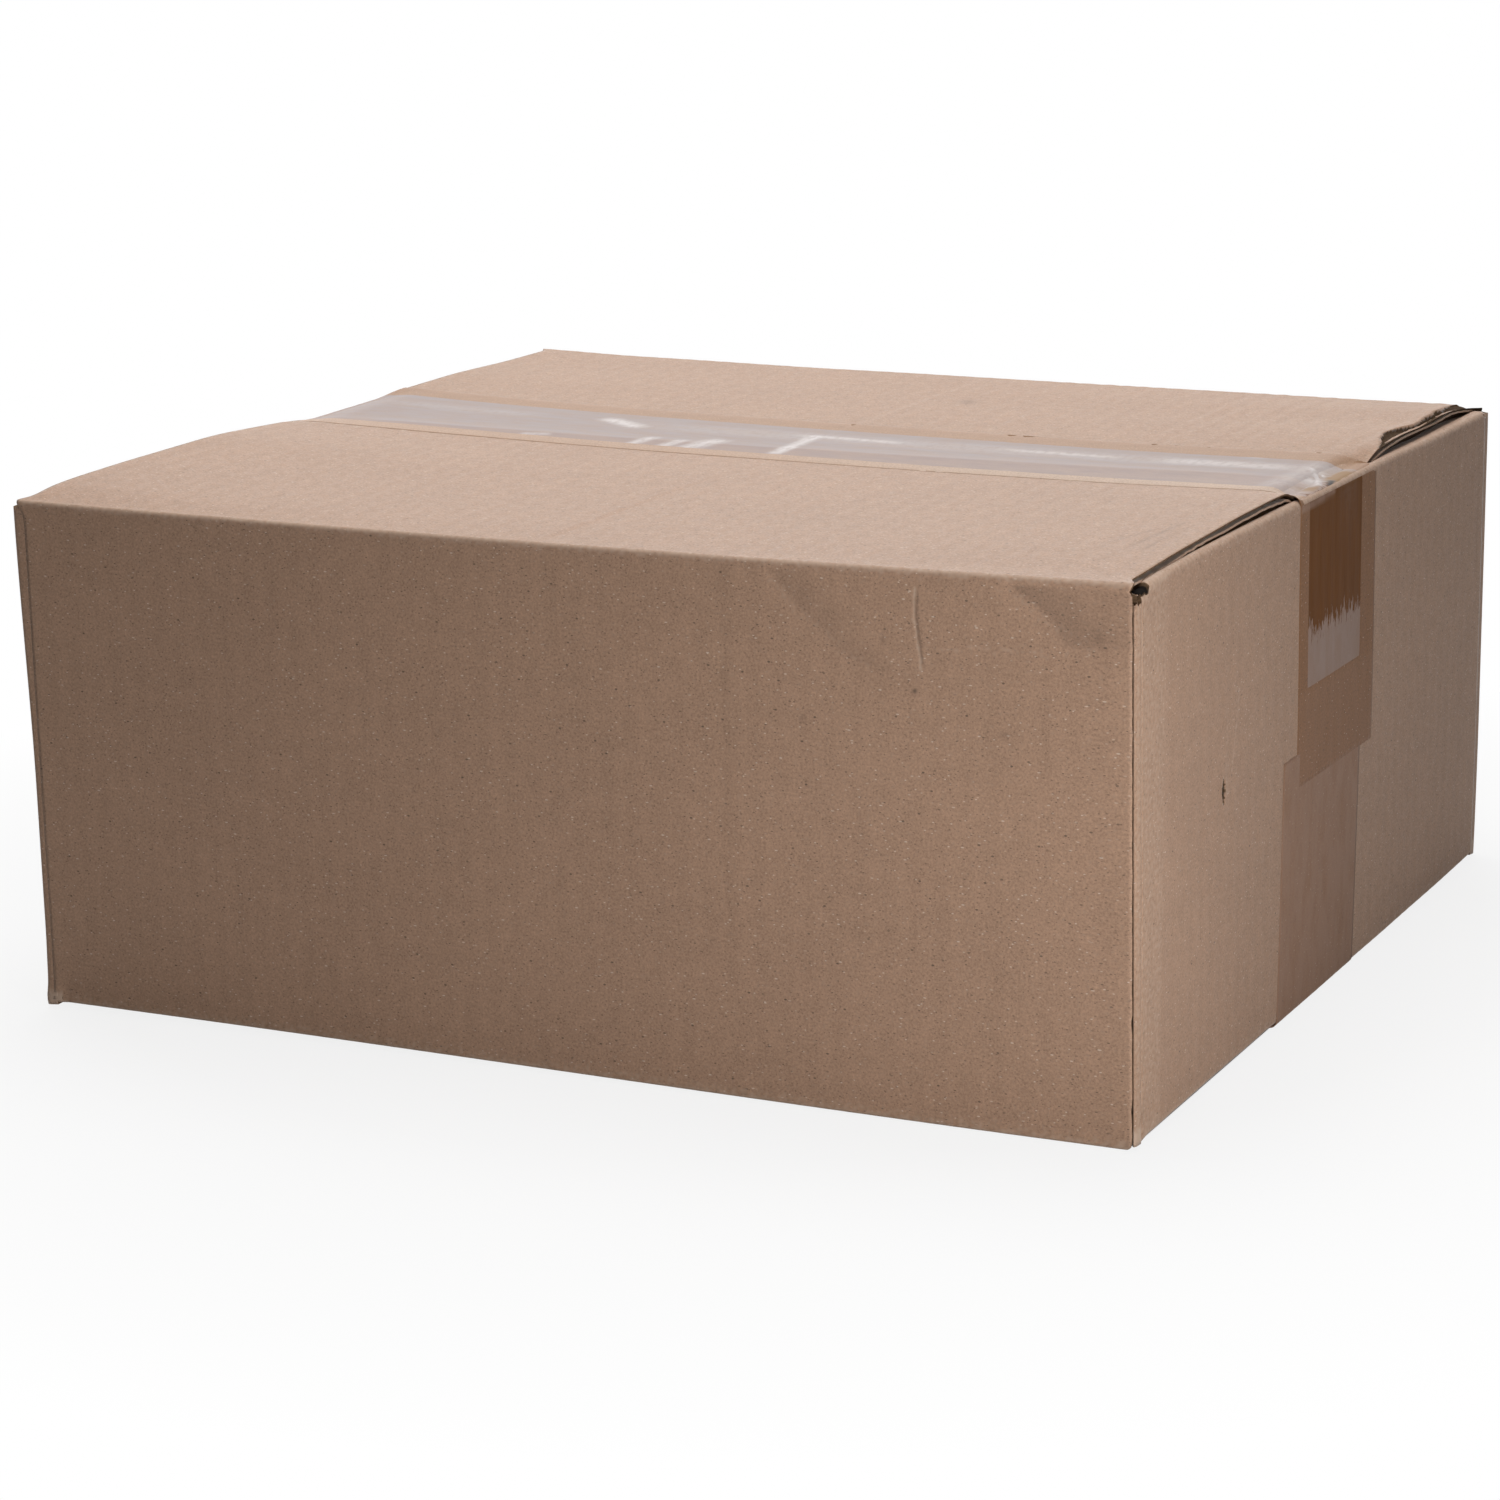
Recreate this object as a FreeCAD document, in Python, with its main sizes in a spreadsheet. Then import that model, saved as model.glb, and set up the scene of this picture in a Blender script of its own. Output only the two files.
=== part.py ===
"""Closed shipping box of corrugated board: one folded blank and three strips of clear tape.

Millimetres. +Z is up, +X runs to the right along the front panel, +Y goes to the back.
The origin is the middle of the resting face, on the floor.
"""
import FreeCAD, Part
import os
import Sketcher

# Driving sizes. Each is one cell of the sheet called Sizes.
SIZES = {
    "box_length": 350.0,          # outside, along the front panel
    "box_width": 324.0,           # outside, from front to back
    "box_height": 155.5,          # floor to the outer face of the top flaps
    "board": 4.0,                 # single-wall board
    "fold_radius": 3.0,           # outside radius of a crease
    "flap_inset": 2.5,            # end of a long flap, in from the end panel's face
    "flap_clearance": 0.4,        # between a long flap and the short flap under it
    "short_flap_side_gap": 1.0,   # side of a short flap to the wall beside it
    "seam_gap": 1.5,              # between the two long flaps
    "short_flap_gap": 26.0,       # between the two short flaps
    "tab_length": 38.0,           # glue tab of the joint, inside the front panel
    "tab_taper": 10.0,            # how far the tab narrows at each end
    "joint_gap": 0.5,             # open line between the front panel and the folded tab
    "joint_depth": 3.5,           # depth of that line from the end panel's face
    "joint_setback": 0.5,         # cut edge of the front panel, in from the end panel's face
    "liner": 0.6,                 # facing sheet of the board
    "open_flute_depth": 3.0,      # open flute along the cut sides of the long flaps
    "puncture_from_front": 68.0,  # small hole poked through the right end panel
    "puncture_level": 84.0,
    "puncture_tall": 7.0,
    "puncture_wide": 1.6,
    "puncture_depth": 2.6,
    "tear_front": 60.0,           # torn facing at the right end of the back top flap
    "tear_back": 100.0,
    "tear_deepest": 81.0,
    "tear_reach": 4.0,
    "film": 0.1,                  # tape
    "wide_tape": 72.0,
    "narrow_tape": 50.0,
    "top_tape_right": 7.5,        # middle line of the top tapes where it leaves the top
    "top_tape_left": 24.0,
    "bottom_tape_right": -9.0,
    "bottom_tape_left": -26.0,
    "wide_tape_end": 69.0,        # height at which a tape stops on the end panels
    "narrow_tape_end": 97.0,
    "bottom_tape_end": 79.0,
}


class Size:
    """A size as a number and as the sheet expression that gives the same number."""

    def __init__(self, value, text):
        self.value = value
        self.text = text

    def combined(self, other, sign, result):
        text = other.text if isinstance(other, Size) else repr(other)
        return Size(result, f"({self.text} {sign} {text})")

    def __add__(self, other):
        return self.combined(other, "+", self.value + number(other))

    def __sub__(self, other):
        return self.combined(other, "-", self.value - number(other))

    def __mul__(self, other):
        return self.combined(other, "*", self.value * number(other))

    def __truediv__(self, other):
        return self.combined(other, "/", self.value / number(other))

    def __neg__(self):
        return Size(-self.value, f"(0 - {self.text})")


def number(size):
    return size.value if isinstance(size, Size) else size


def size(name):
    return Size(SIZES[name], f"Sizes.{name}")


def make_sheet(doc):
    sheet = doc.addObject("Spreadsheet::Sheet", "Sizes")
    for row, (name, value) in enumerate(SIZES.items(), start=1):
        sheet.set(f"A{row}", name)
        sheet.set(f"B{row}", str(value))
        sheet.setAlias(f"B{row}", name)
    doc.recompute()


def origin_plane(body, role):
    return next(plane for plane in body.Origin.OriginFeatures if plane.Role == role)


def new_sketch(body, name, role, offset=None):
    """A sketch on one of the body's own origin planes, moved along that plane's normal."""
    sketch = body.newObject("Sketcher::SketchObject", name)
    sketch.AttachmentSupport = (origin_plane(body, role), "")
    sketch.MapMode = "FlatFace"
    if offset is not None:
        sketch.setExpression("AttachmentOffset.Base.z", offset.text)
    return sketch


def bind(sketch, constraint, expression):
    index = sketch.addConstraint(constraint)
    sketch.setExpression(f"Constraints[{index}]", expression)


def place_point(sketch, edge, end, across, up):
    """Fix one end of an edge at two sizes, measured from the sketch's own origin."""
    bind(sketch, Sketcher.Constraint("DistanceX", -1, 1, edge, end, across.value), across.text)
    bind(sketch, Sketcher.Constraint("DistanceY", -1, 1, edge, end, up.value), up.text)


def vector(corner):
    return FreeCAD.Vector(corner[0].value, corner[1].value, 0)


def rounded_edge(start, end, radius):
    """Arc of a quarter turn between two points, bulging to the left of the way it runs."""
    middle = (start + end) / 2
    half = (end - start) / 2
    side = FreeCAD.Vector(-half.y, half.x, 0)
    centre = middle - side
    through = centre + (middle - centre).normalize() * radius
    return Part.Arc(start, through, end)


def draw_outline(sketch, corners, fold=None, folded=()):
    """Close a loop through the corners; the edges listed in folded are quarter arcs.

    Every corner is fixed by two bound distances and every arc by its bound radius.
    """
    first = sketch.GeometryCount
    count = len(corners)
    for index, corner in enumerate(corners):
        start = vector(corner)
        end = vector(corners[(index + 1) % count])
        if index in folded:
            sketch.addGeometry(rounded_edge(start, end, fold.value), False)
        else:
            sketch.addGeometry(Part.LineSegment(start, end), False)
    ends = {index: arc_ends(sketch, first + index) for index in folded}
    for index in range(count):
        after = (index + 1) % count
        finish = ends[index][1] if index in ends else 2
        begin = ends[after][0] if after in ends else 1
        sketch.addConstraint(Sketcher.Constraint("Coincident", first + index, finish, first + after, begin))
    for index, corner in enumerate(corners):
        begin = ends[index][0] if index in ends else 1
        place_point(sketch, first + index, begin, *corner)
    for index in folded:
        bind(sketch, Sketcher.Constraint("Radius", first + index, fold.value), fold.text)


def arc_ends(sketch, edge):
    """Which point of a stored arc is its start in the loop: arcs are kept anticlockwise."""
    arc = sketch.Geometry[edge]
    clockwise = arc.Circle.Axis.z < 0
    return (2, 1) if clockwise else (1, 2)


def pad(body, sketch, name, length, both_ways=False, backwards=False):
    feature = body.newObject("PartDesign::Pad", name)
    feature.Profile = sketch
    feature.setExpression("Length", length.text)
    feature.Midplane = both_ways
    feature.Reversed = backwards
    body.Document.recompute()
    return feature


def pocket(body, sketch, name, depth, backwards=False):
    """Cut a sketch into the body and make sure that it took material away."""
    before = body.Shape.Volume
    feature = body.newObject("PartDesign::Pocket", name)
    feature.Profile = sketch
    feature.setExpression("Length", depth.text)
    feature.Reversed = backwards
    body.Document.recompute()
    if not body.Shape.Volume < before:
        raise RuntimeError(f"{name} cuts nothing")
    return feature


def mirror(body, feature, name, role):
    copy = body.newObject("PartDesign::Mirrored", name)
    copy.Originals = [feature]
    copy.MirrorPlane = (origin_plane(body, role), [""])
    body.Tip = copy
    body.Document.recompute()


def rectangle(low_across, high_across, low_up, high_up):
    return [(low_across, low_up), (high_across, low_up), (high_across, high_up), (low_across, high_up)]


def folded_section(outside, top, flap_end, board, fold):
    """Section of a panel with its top and bottom flap: a bracket open away from outside.

    outside and flap_end are on the negative side of the sketch; edges 1 and 3 are the creases.
    """
    inside = outside + board
    under = top - board
    return [
        (flap_end, -top), (outside + fold, -top), (outside, -top + fold), (outside, top - fold),
        (outside + fold, top), (flap_end, top), (flap_end, under), (inside, under),
        (inside, -under), (flap_end, -under),
    ]


def corner_ring(body, levels):
    """The four upright walls, with the glue tab and the open line of the joint."""
    board = size("board")
    right = size("box_length") / 2
    back = size("box_width") / 2
    cut_edge = right - size("joint_setback")
    line_end = right - size("joint_depth")
    joint = -back + board
    tab_end = right - size("tab_length")
    sketch = new_sketch(body, "wall_plan", "XY_Plane")
    draw_outline(sketch, [
        (-right, -back), (cut_edge, -back), (cut_edge, joint), (line_end, joint),
        (line_end, joint + size("joint_gap")), (right, joint + size("joint_gap")),
        (right, back), (-right, back),
    ])
    draw_outline(sketch, [
        (-right + board, joint), (tab_end, joint), (tab_end, joint + board), (right - board, joint + board),
        (right - board, back - board), (-right + board, back - board),
    ])
    pad(body, sketch, "walls", levels["wall"] * 2, both_ways=True)


def round_upright_creases(body):
    """Round the outside of the four folded corners; the front right one is folded behind the panel."""
    right = SIZES["box_length"] / 2
    back = SIZES["box_width"] / 2
    folded_tab = -back + SIZES["board"] + SIZES["joint_gap"]
    corners = [(-right, -back), (-right, back), (right, back), (right, folded_tab)]
    base = body.Tip
    names = []
    for index, edge in enumerate(base.Shape.Edges, start=1):
        middle = edge.CenterOfMass
        upright = abs(edge.BoundBox.ZLength - edge.Length) < 1e-6
        if upright and any(abs(middle.x - x) < 1e-4 and abs(middle.y - y) < 1e-4 for x, y in corners):
            names.append(f"Edge{index}")
    fillet = body.newObject("PartDesign::Fillet", "upright_creases")
    fillet.Base = (base, names)
    fillet.setExpression("Radius", "min(Sizes.fold_radius; Sizes.joint_depth * 0.9)")
    body.Document.recompute()


def trim_tab(body, levels):
    """Taper the two ends of the glue tab, as its blank is cut."""
    right = size("box_length") / 2
    tab_end = right - size("tab_length")
    root = right - size("board")
    top = levels["wall"]
    low = top - size("tab_taper")
    inner_face = -(size("box_width") / 2) + size("board")
    sketch = new_sketch(body, "tab_trim", "XZ_Plane", -inner_face)
    draw_outline(sketch, [(tab_end, low), (root, top), (tab_end, top)])
    draw_outline(sketch, [(tab_end, -low), (tab_end, -top), (root, -top)])
    pocket(body, sketch, "tab_ends", size("board"))


def flap_pairs(body, levels):
    """Long panels and short panels, each with a flap at the top and at the bottom."""
    board = size("board")
    fold = size("fold_radius")
    left = -(size("box_length") / 2)
    front = -(size("box_width") / 2)
    long_section = folded_section(front, levels["long"], -(size("seam_gap") / 2), board, fold)
    sketch = new_sketch(body, "long_section", "YZ_Plane")
    draw_outline(sketch, long_section, fold, (1, 3))
    feature = pad(body, sketch, "front_and_its_flaps", -(left + size("flap_inset")) * 2, both_ways=True)
    mirror(body, feature, "back_and_its_flaps", "XZ_Plane")

    short_section = folded_section(left, levels["short"], -(size("short_flap_gap") / 2), board, fold)
    sketch = new_sketch(body, "short_section", "XZ_Plane")
    draw_outline(sketch, short_section, fold, (1, 3))
    across = -(front + board + size("short_flap_side_gap")) * 2
    feature = pad(body, sketch, "left_end_and_its_flaps", across, both_ways=True)
    mirror(body, feature, "right_end_and_its_flaps", "YZ_Plane")


def open_flutes(body, levels):
    """The flute that the knife left open along both cut sides of each long flap."""
    liner = size("liner")
    crease = size("box_width") / 2 - size("fold_radius") - size("board")
    free_edge = size("seam_gap") / 2
    top = levels["long"]
    low = top - size("board") + liner
    high = top - liner
    sketch = new_sketch(body, "flute_ends", "YZ_Plane", size("box_length") / 2 - size("flap_inset"))
    draw_outline(sketch, rectangle(-crease, -free_edge, low, high))
    draw_outline(sketch, rectangle(free_edge, crease, low, high))
    draw_outline(sketch, rectangle(-crease, -free_edge, -high, -low))
    draw_outline(sketch, rectangle(free_edge, crease, -high, -low))
    feature = pocket(body, sketch, "right_open_flutes", size("open_flute_depth"))
    mirror(body, feature, "left_open_flutes", "YZ_Plane")


def puncture(body):
    """The small upright hole poked through the facing of the right end panel."""
    across = -(size("box_width") / 2) + size("puncture_from_front")
    level = size("puncture_level") - size("film") - levels_middle()
    half_wide = size("puncture_wide") / 2
    half_tall = size("puncture_tall") / 2
    sketch = new_sketch(body, "puncture_outline", "YZ_Plane", size("box_length") / 2)
    draw_outline(sketch, [
        (across - half_wide, level - half_tall * 0.4), (across, level - half_tall),
        (across + half_wide, level - half_tall * 0.2), (across + half_wide * 0.5, level + half_tall * 0.6),
        (across, level + half_tall), (across - half_wide * 0.6, level + half_tall * 0.5),
    ])
    pocket(body, sketch, "puncture", size("puncture_depth"))


def torn_facing(body, levels):
    """The facing sheet torn off the corner of the back top flap at its right end."""
    side = size("box_length") / 2 - size("flap_inset")
    reach = size("tear_reach")
    sketch = new_sketch(body, "tear_outline", "XY_Plane", levels["long"])
    draw_outline(sketch, [
        (side, size("tear_front")), (side, size("tear_back")),
        (side - reach * 0.3, size("tear_back") - reach), (side - reach, size("tear_deepest")),
        (side - reach * 0.6, size("tear_front") + reach * 2),
    ])
    pocket(body, sketch, "torn_facing", size("liner"))


def levels_middle():
    """Half the height of the folded blank, which stands on the bottom tape."""
    return (size("box_height") - size("film")) / 2


def make_carton(doc):
    """The whole blank, folded: its body is drawn about its own middle and lifted into place."""
    body = doc.addObject("PartDesign::Body", "carton")
    long_level = levels_middle()
    short_level = long_level - size("board") - size("flap_clearance")
    levels = {"long": long_level, "short": short_level, "wall": short_level - size("fold_radius")}
    corner_ring(body, levels)
    round_upright_creases(body)
    trim_tab(body, levels)
    flap_pairs(body, levels)
    open_flutes(body, levels)
    puncture(body)
    torn_facing(body, levels)
    body.setExpression("Placement.Base.z", (long_level + size("film")).text)
    return body


def tape(doc, label, width, right_middle, left_middle, face, under, end_level, upwards):
    """A strip of film along a seam and over both ends, which keeps its slant as it folds.

    face is the height of the face that it lies on, under the film already beneath it, and
    upwards is 1 for a tape on the top face and -1 for one under the box.
    """
    body = doc.addObject("PartDesign::Body", label)
    film = size("film")
    inner = size("box_length") / 2 + under
    outer = inner + film
    half = width / 2
    sketch = new_sketch(body, f"{label}_run", "XY_Plane", face)
    draw_outline(sketch, [
        (-outer, left_middle - half), (-inner, left_middle - half),
        (inner, right_middle - half), (outer, right_middle - half),
        (outer, right_middle + half), (inner, right_middle + half),
        (-inner, left_middle + half), (-outer, left_middle + half),
    ])
    pad(body, sketch, f"{label}_over_seam", film, backwards=upwards < 0)
    slant = (left_middle - right_middle) / size("box_length")
    drop = (face - end_level) * upwards
    for side, middle, turn in (("right", right_middle, -1), ("left", left_middle, 1)):
        end_middle = middle + slant * drop * turn
        offset = inner if side == "right" else -inner
        sketch = new_sketch(body, f"{label}_{side}", "YZ_Plane", offset)
        draw_outline(sketch, [
            (middle - half, face), (middle + half, face),
            (end_middle + half, end_level), (end_middle - half, end_level),
        ])
        pad(body, sketch, f"{label}_down_{side}", film, backwards=side == "left")
    return body


def make_tapes(doc):
    nothing = size("film") * 0
    top = size("box_height")
    film = size("film")
    right = size("top_tape_right")
    left = size("top_tape_left")
    return [
        tape(doc, "top_tape_narrow", size("narrow_tape"), right, left,
             top, nothing, size("narrow_tape_end"), 1),
        tape(doc, "top_tape_wide", size("wide_tape"), right, left,
             top + film, film, size("wide_tape_end"), 1),
        tape(doc, "bottom_tape", size("wide_tape"), size("bottom_tape_right"), size("bottom_tape_left"),
             film, nothing, size("bottom_tape_end"), -1),
    ]


def check(doc, bodies):
    """Stop if any object of the document failed or any piece isn't one valid solid."""
    for item in doc.Objects:
        if "Invalid" in item.State or "Error" in item.State:
            raise RuntimeError(f"{item.Name} failed: {item.State}")
    for body in bodies:
        shape = body.Shape
        if shape.isNull() or not shape.isValid() or len(shape.Solids) != 1:
            raise RuntimeError(f"{body.Label} isn't one valid solid")


def main():
    doc = FreeCAD.newDocument("closed_box")
    make_sheet(doc)
    bodies = [make_carton(doc)] + make_tapes(doc)
    doc.recompute()
    check(doc, bodies)
    os.makedirs("parts", exist_ok=True)
    for body in bodies:
        body.Shape.exportStep(f"parts/{body.Label}.step")
        box = body.Shape.BoundBox
        print(body.Label, "volume", round(body.Shape.Volume, 1),
              "from", [round(v, 2) for v in (box.XMin, box.YMin, box.ZMin)],
              "to", [round(v, 2) for v in (box.XMax, box.YMax, box.ZMax)])


main()
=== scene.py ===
"""The looks of a closed, taped shipping box of unbleached corrugated board.

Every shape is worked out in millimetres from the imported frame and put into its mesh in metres.
The board is folded from sheets: a section of the panel and its two flaps, carried along the crease.
"""
import math

import bpy
import numpy as np
from mathutils import Matrix, Vector


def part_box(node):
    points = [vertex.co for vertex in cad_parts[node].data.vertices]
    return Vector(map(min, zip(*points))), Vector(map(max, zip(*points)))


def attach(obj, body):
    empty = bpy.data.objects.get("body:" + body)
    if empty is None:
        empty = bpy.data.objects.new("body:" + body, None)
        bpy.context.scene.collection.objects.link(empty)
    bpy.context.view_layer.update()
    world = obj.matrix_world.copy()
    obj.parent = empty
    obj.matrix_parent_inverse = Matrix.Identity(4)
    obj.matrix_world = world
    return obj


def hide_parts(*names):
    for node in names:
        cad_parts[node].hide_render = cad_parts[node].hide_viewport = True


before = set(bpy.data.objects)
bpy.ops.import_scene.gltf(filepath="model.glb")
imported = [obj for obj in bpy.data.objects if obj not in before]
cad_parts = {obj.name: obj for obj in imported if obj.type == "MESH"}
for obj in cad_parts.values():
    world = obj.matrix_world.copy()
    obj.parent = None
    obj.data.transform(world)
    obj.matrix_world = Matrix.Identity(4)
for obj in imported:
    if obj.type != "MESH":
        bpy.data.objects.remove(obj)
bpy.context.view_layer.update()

MM = 0.001
carton_low, carton_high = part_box("carton")
END = carton_high.x / MM            # outer face of the end panels
SIDE = carton_high.y / MM           # outer face of the front and back panels
TOP = carton_high.z / MM            # outer face of the long top flaps
FLOOR_FACE = carton_low.z / MM      # outer face of the long bottom flaps

BOARD = 4.0
FLUTE = 7.68                        # pitch of the corrugation
WASHBOARD = 0.022                   # how far the facing dips between flutes
FLAP_END = END - 3.0                # cut ends of the long flaps
SEAM = 0.75                         # half the gap between the long flaps
GROOVE = 3.2                        # open flute along a cut side
FACING = 0.45                       # thickness of one facing
HIDDEN_SIDE = 0.03                  # step back of a rim that shows no flute
INNER_STEP = 4                      # the inner facing has every fourth line of the outer one


# Small shaping functions

def ease(low, high, x):
    """0 below low, 1 above high, and a smooth S between them."""
    step = np.clip((np.asarray(x, float) - low) / (high - low), 0.0, 1.0)
    return step * step * (3.0 - 2.0 * step)


def bell(x, centre, width):
    """Bell curve of height 1: e to the minus square of the distance over the width."""
    return np.exp(-((np.asarray(x, float) - centre) / width) ** 2)


def between(x, places, values):
    """A line through a few chosen heights, rounded at each of them by averaging its neighbourhood."""
    x = np.asarray(x, float)
    reach = 0.02 * (places[-1] - places[0])
    steps = np.linspace(-1.0, 1.0, 5) * reach
    return sum(np.interp(x + step, places, values) for step in steps) / len(steps)


def waves(across, along, size, seed, count=7):
    """Uneven ground between -1 and 1: a sum of sines that run in random directions."""
    rng = np.random.default_rng(seed)
    total = np.zeros(np.broadcast(across, along).shape)
    for turn, phase, stretch in zip(rng.uniform(0, math.pi, count), rng.uniform(0, 2 * math.pi, count),
                                    rng.uniform(0.6, 1.7, count)):
        run = across * math.cos(turn) + along * math.sin(turn)
        total = total + np.sin(run * 2 * math.pi * stretch / size + phase)
    return total / count


def crease_line(across, along, start, end, width, lift, power=1.5):
    """A ridge or valley along a straight line that fades out towards both ends.

    Its height falls with the distance from the line over the width, to the power: 1 is a sharp fold.
    """
    start = np.array(start, float)
    run = np.array(end, float) - start
    length = math.hypot(*run)
    way = run / length
    forward = (across - start[0]) * way[0] + (along - start[1]) * way[1]
    aside = (across - start[0]) * -way[1] + (along - start[1]) * way[0]
    fade = ease(-0.05, 0.25, forward / length) * (1.0 - ease(0.75, 1.05, forward / length))
    return lift * fade * np.exp(-np.abs(aside / width) ** power)


def spaced(low, high, step, extra=()):
    """Evenly spaced lines from low to high, with extra lines where a detail needs them."""
    count = max(2, int(round((high - low) / step)) + 1)
    lines = np.concatenate([np.linspace(low, high, count), np.asarray(extra, float)])
    lines = np.unique(lines[(lines >= low) & (lines <= high)])
    keep = np.concatenate([[True], np.diff(lines) > 0.08])
    keep[-1] = True
    return lines[keep]


# How the box has sagged, sprung and been knocked

def front_crease(x):
    """Height of the front top crease."""
    return between(x, (-175, -120, -20, 60, 120, 175), (155.3, 154.6, 154.0, 153.9, 154.0, 154.4))


def back_crease(x):
    """Height of the back top crease, which sinks towards the right."""
    level = between(x, (-175, -140, -60, 20, 175), (156.4, 155.2, 154.0, 153.2, 151.6))
    return level + 0.14 * waves(x, 0, 7.0, 51) * ease(0, 40, x)


def flap_height(x, y):
    """Outer height of the long top flaps.

    Straight across from crease to crease, plus a swelling at both ends, where the short flaps
    carry them, that rises soon after the crease and fades at the seam.
    """
    x, y = np.broadcast_arrays(np.asarray(x, float), np.asarray(y, float))
    share = (y + SIDE) / (2 * SIDE)
    level = (1 - share) * front_crease(x) + share * back_crease(x)
    left = between(y, (-162, -150, -137, -110, -60, -45, -17, 0, 45, 92, 126, 150, 162),
                   (0.0, 2.3, 3.0, 3.5, 3.7, 3.0, 1.4, 0.4, 0.9, 1.1, 0.2, 0.1, 0.0))
    right = between(y, (-162, -155, -126, -103, -72, -40, -15, 15, 46, 68, 87, 101, 131, 150, 162),
                    (0.0, -0.4, 1.0, 1.6, 2.3, 2.5, 1.6, 1.0, 1.9, 3.0, 3.3, 2.6, 3.3, 1.6, 0.0))
    reach = np.abs(x) / END
    swell = np.where(x < 0, left, right) * (0.12 + 0.88 * reach ** 2.6)
    seam_lift = 0.6 * np.exp(-np.abs(y) / 14.0) * (1 - ease(0.75, 0.95, reach))
    return level + swell + seam_lift + 0.12 * waves(x, y, 120.0, 11)


def pressed_end(x, y):
    """How far the tape has pulled down the flaps' corners at the seam, at both ends."""
    right = 4.6 * ease(-32, -17, y) * (1 - ease(30, 62, y)) * ease(FLAP_END - 9, FLAP_END + 1, x)
    left = 1.2 * ease(-22, 2, y) * (1 - ease(40, 62, y)) * ease(FLAP_END - 10, FLAP_END + 1, -x)
    return right + left


def top_surface(x, y):
    """Outer height of the long top flaps with the washboard of the flutes."""
    return flap_height(x, y) - pressed_end(x, y) + ribs(x)


def bottom_surface(x, y):
    """Outer height of the long bottom flaps, lifted a little at the front left and the back right."""
    front_lift = 1.9 * ease(-150, 150, -x) * np.exp(-(SIDE + y) / 30.0)
    back_lift = 0.8 * ease(-150, 150, x) * np.exp(-(SIDE - y) / 30.0)
    return FLOOR_FACE + front_lift + back_lift


def ribs(along):
    """The washboard of the flutes under a facing."""
    return WASHBOARD * np.cos(2 * math.pi * along / FLUTE)


def belly(along, z, half):
    """1 in the middle of a panel and 0 along its four edges."""
    return np.cos(math.pi * along / (2 * half)) * np.sin(math.pi * np.clip(z / TOP, 0, 1))


def front_bulge(x, z):
    """Outward swelling of the front panel, with its dents, folds and the washboard.

    The upper right has two bent dent creases, a cracked facing and a fold line. The edge of the
    glue tab shows through the facing 38 mm from the corner, and the left bottom corner has a knob.
    """
    fold = 0.16 * ease(56.2, 57.6, x) * (1 - ease(57.6, 84, x)) * ease(35, 60, z)
    tab_edge = 0.07 * ease(END - 41, END - 37, x)
    knob = 0.9 * bell(z, 3.0, 3.2) * (1 - ease(-170.5, -167.5, x))
    shape = 1.1 * belly(x, z, END) + ribs(x) + 0.1 * waves(x, z, 90.0, 3) + fold + tab_edge + knob
    for mark in FRONT_DENTS + (FRONT_RIDGE,):
        shape = shape + crease_line(x, z, *mark)
    for mark in FRONT_CRACK:
        shape = shape + crease_line(x + crack_wander(z), z, *mark)
    return shape


def crack_wander(z):
    """How the cracked facing's line wanders from side to side."""
    return 0.35 * waves(z, 0, 7.0, 15) + 0.15 * waves(z, 0, 2.4, 16)


# Start and end in the front's x and z, width, height and sharpness
FRONT_DENTS = (
    ((69, 151), (85, 135), 4.0, -0.34, 1.0),
    ((82, 138), (103, 125), 4.5, -0.34, 1.0),
    ((138, 153), (153, 140), 5.0, -0.42, 1.0),
    ((150, 143), (166, 135), 5.0, -0.38, 1.0),
)
FRONT_RIDGE = ((112, 133), (164, 134.5), 1.6, -0.12, 1.0)
FRONT_CRACK = (
    ((113.6, 151), (113.0, 140), 0.4, -0.10, 1.5),
    ((113.0, 142), (114.2, 133), 0.4, -0.16, 1.5),
    ((113.9, 135), (115.2, 125), 0.4, -0.08, 1.5),
)


def right_bulge(y, z):
    """Outward swelling of the right end panel: it leans out towards the back top corner."""
    lean = 1.9 * np.clip(z / 145, 0, 1) ** 0.7 * ease(20, 162, y)
    strip = 0.1 * (1 - ease(-139.5, -137.5, y))
    return lean + 0.5 * belly(y, z, SIDE) + strip + ribs(y) + 0.1 * waves(y, z, 80.0, 5)


def left_bulge(y, z):
    """Outward swelling of the left end panel: it flares at the top and a little at the bottom."""
    flare = 1.7 * ease(70, 158, z) + 0.4 * (1 - ease(4, 26, z))
    return flare + belly(y, z, SIDE) + ribs(y) + 0.1 * waves(y, z, 85.0, 7)


def back_bulge(x, z):
    """Outward swelling of the back panel."""
    return 1.2 * belly(x, z, END) + ribs(x) + 0.12 * waves(x, z, 90.0, 9)


# Meshes

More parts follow.
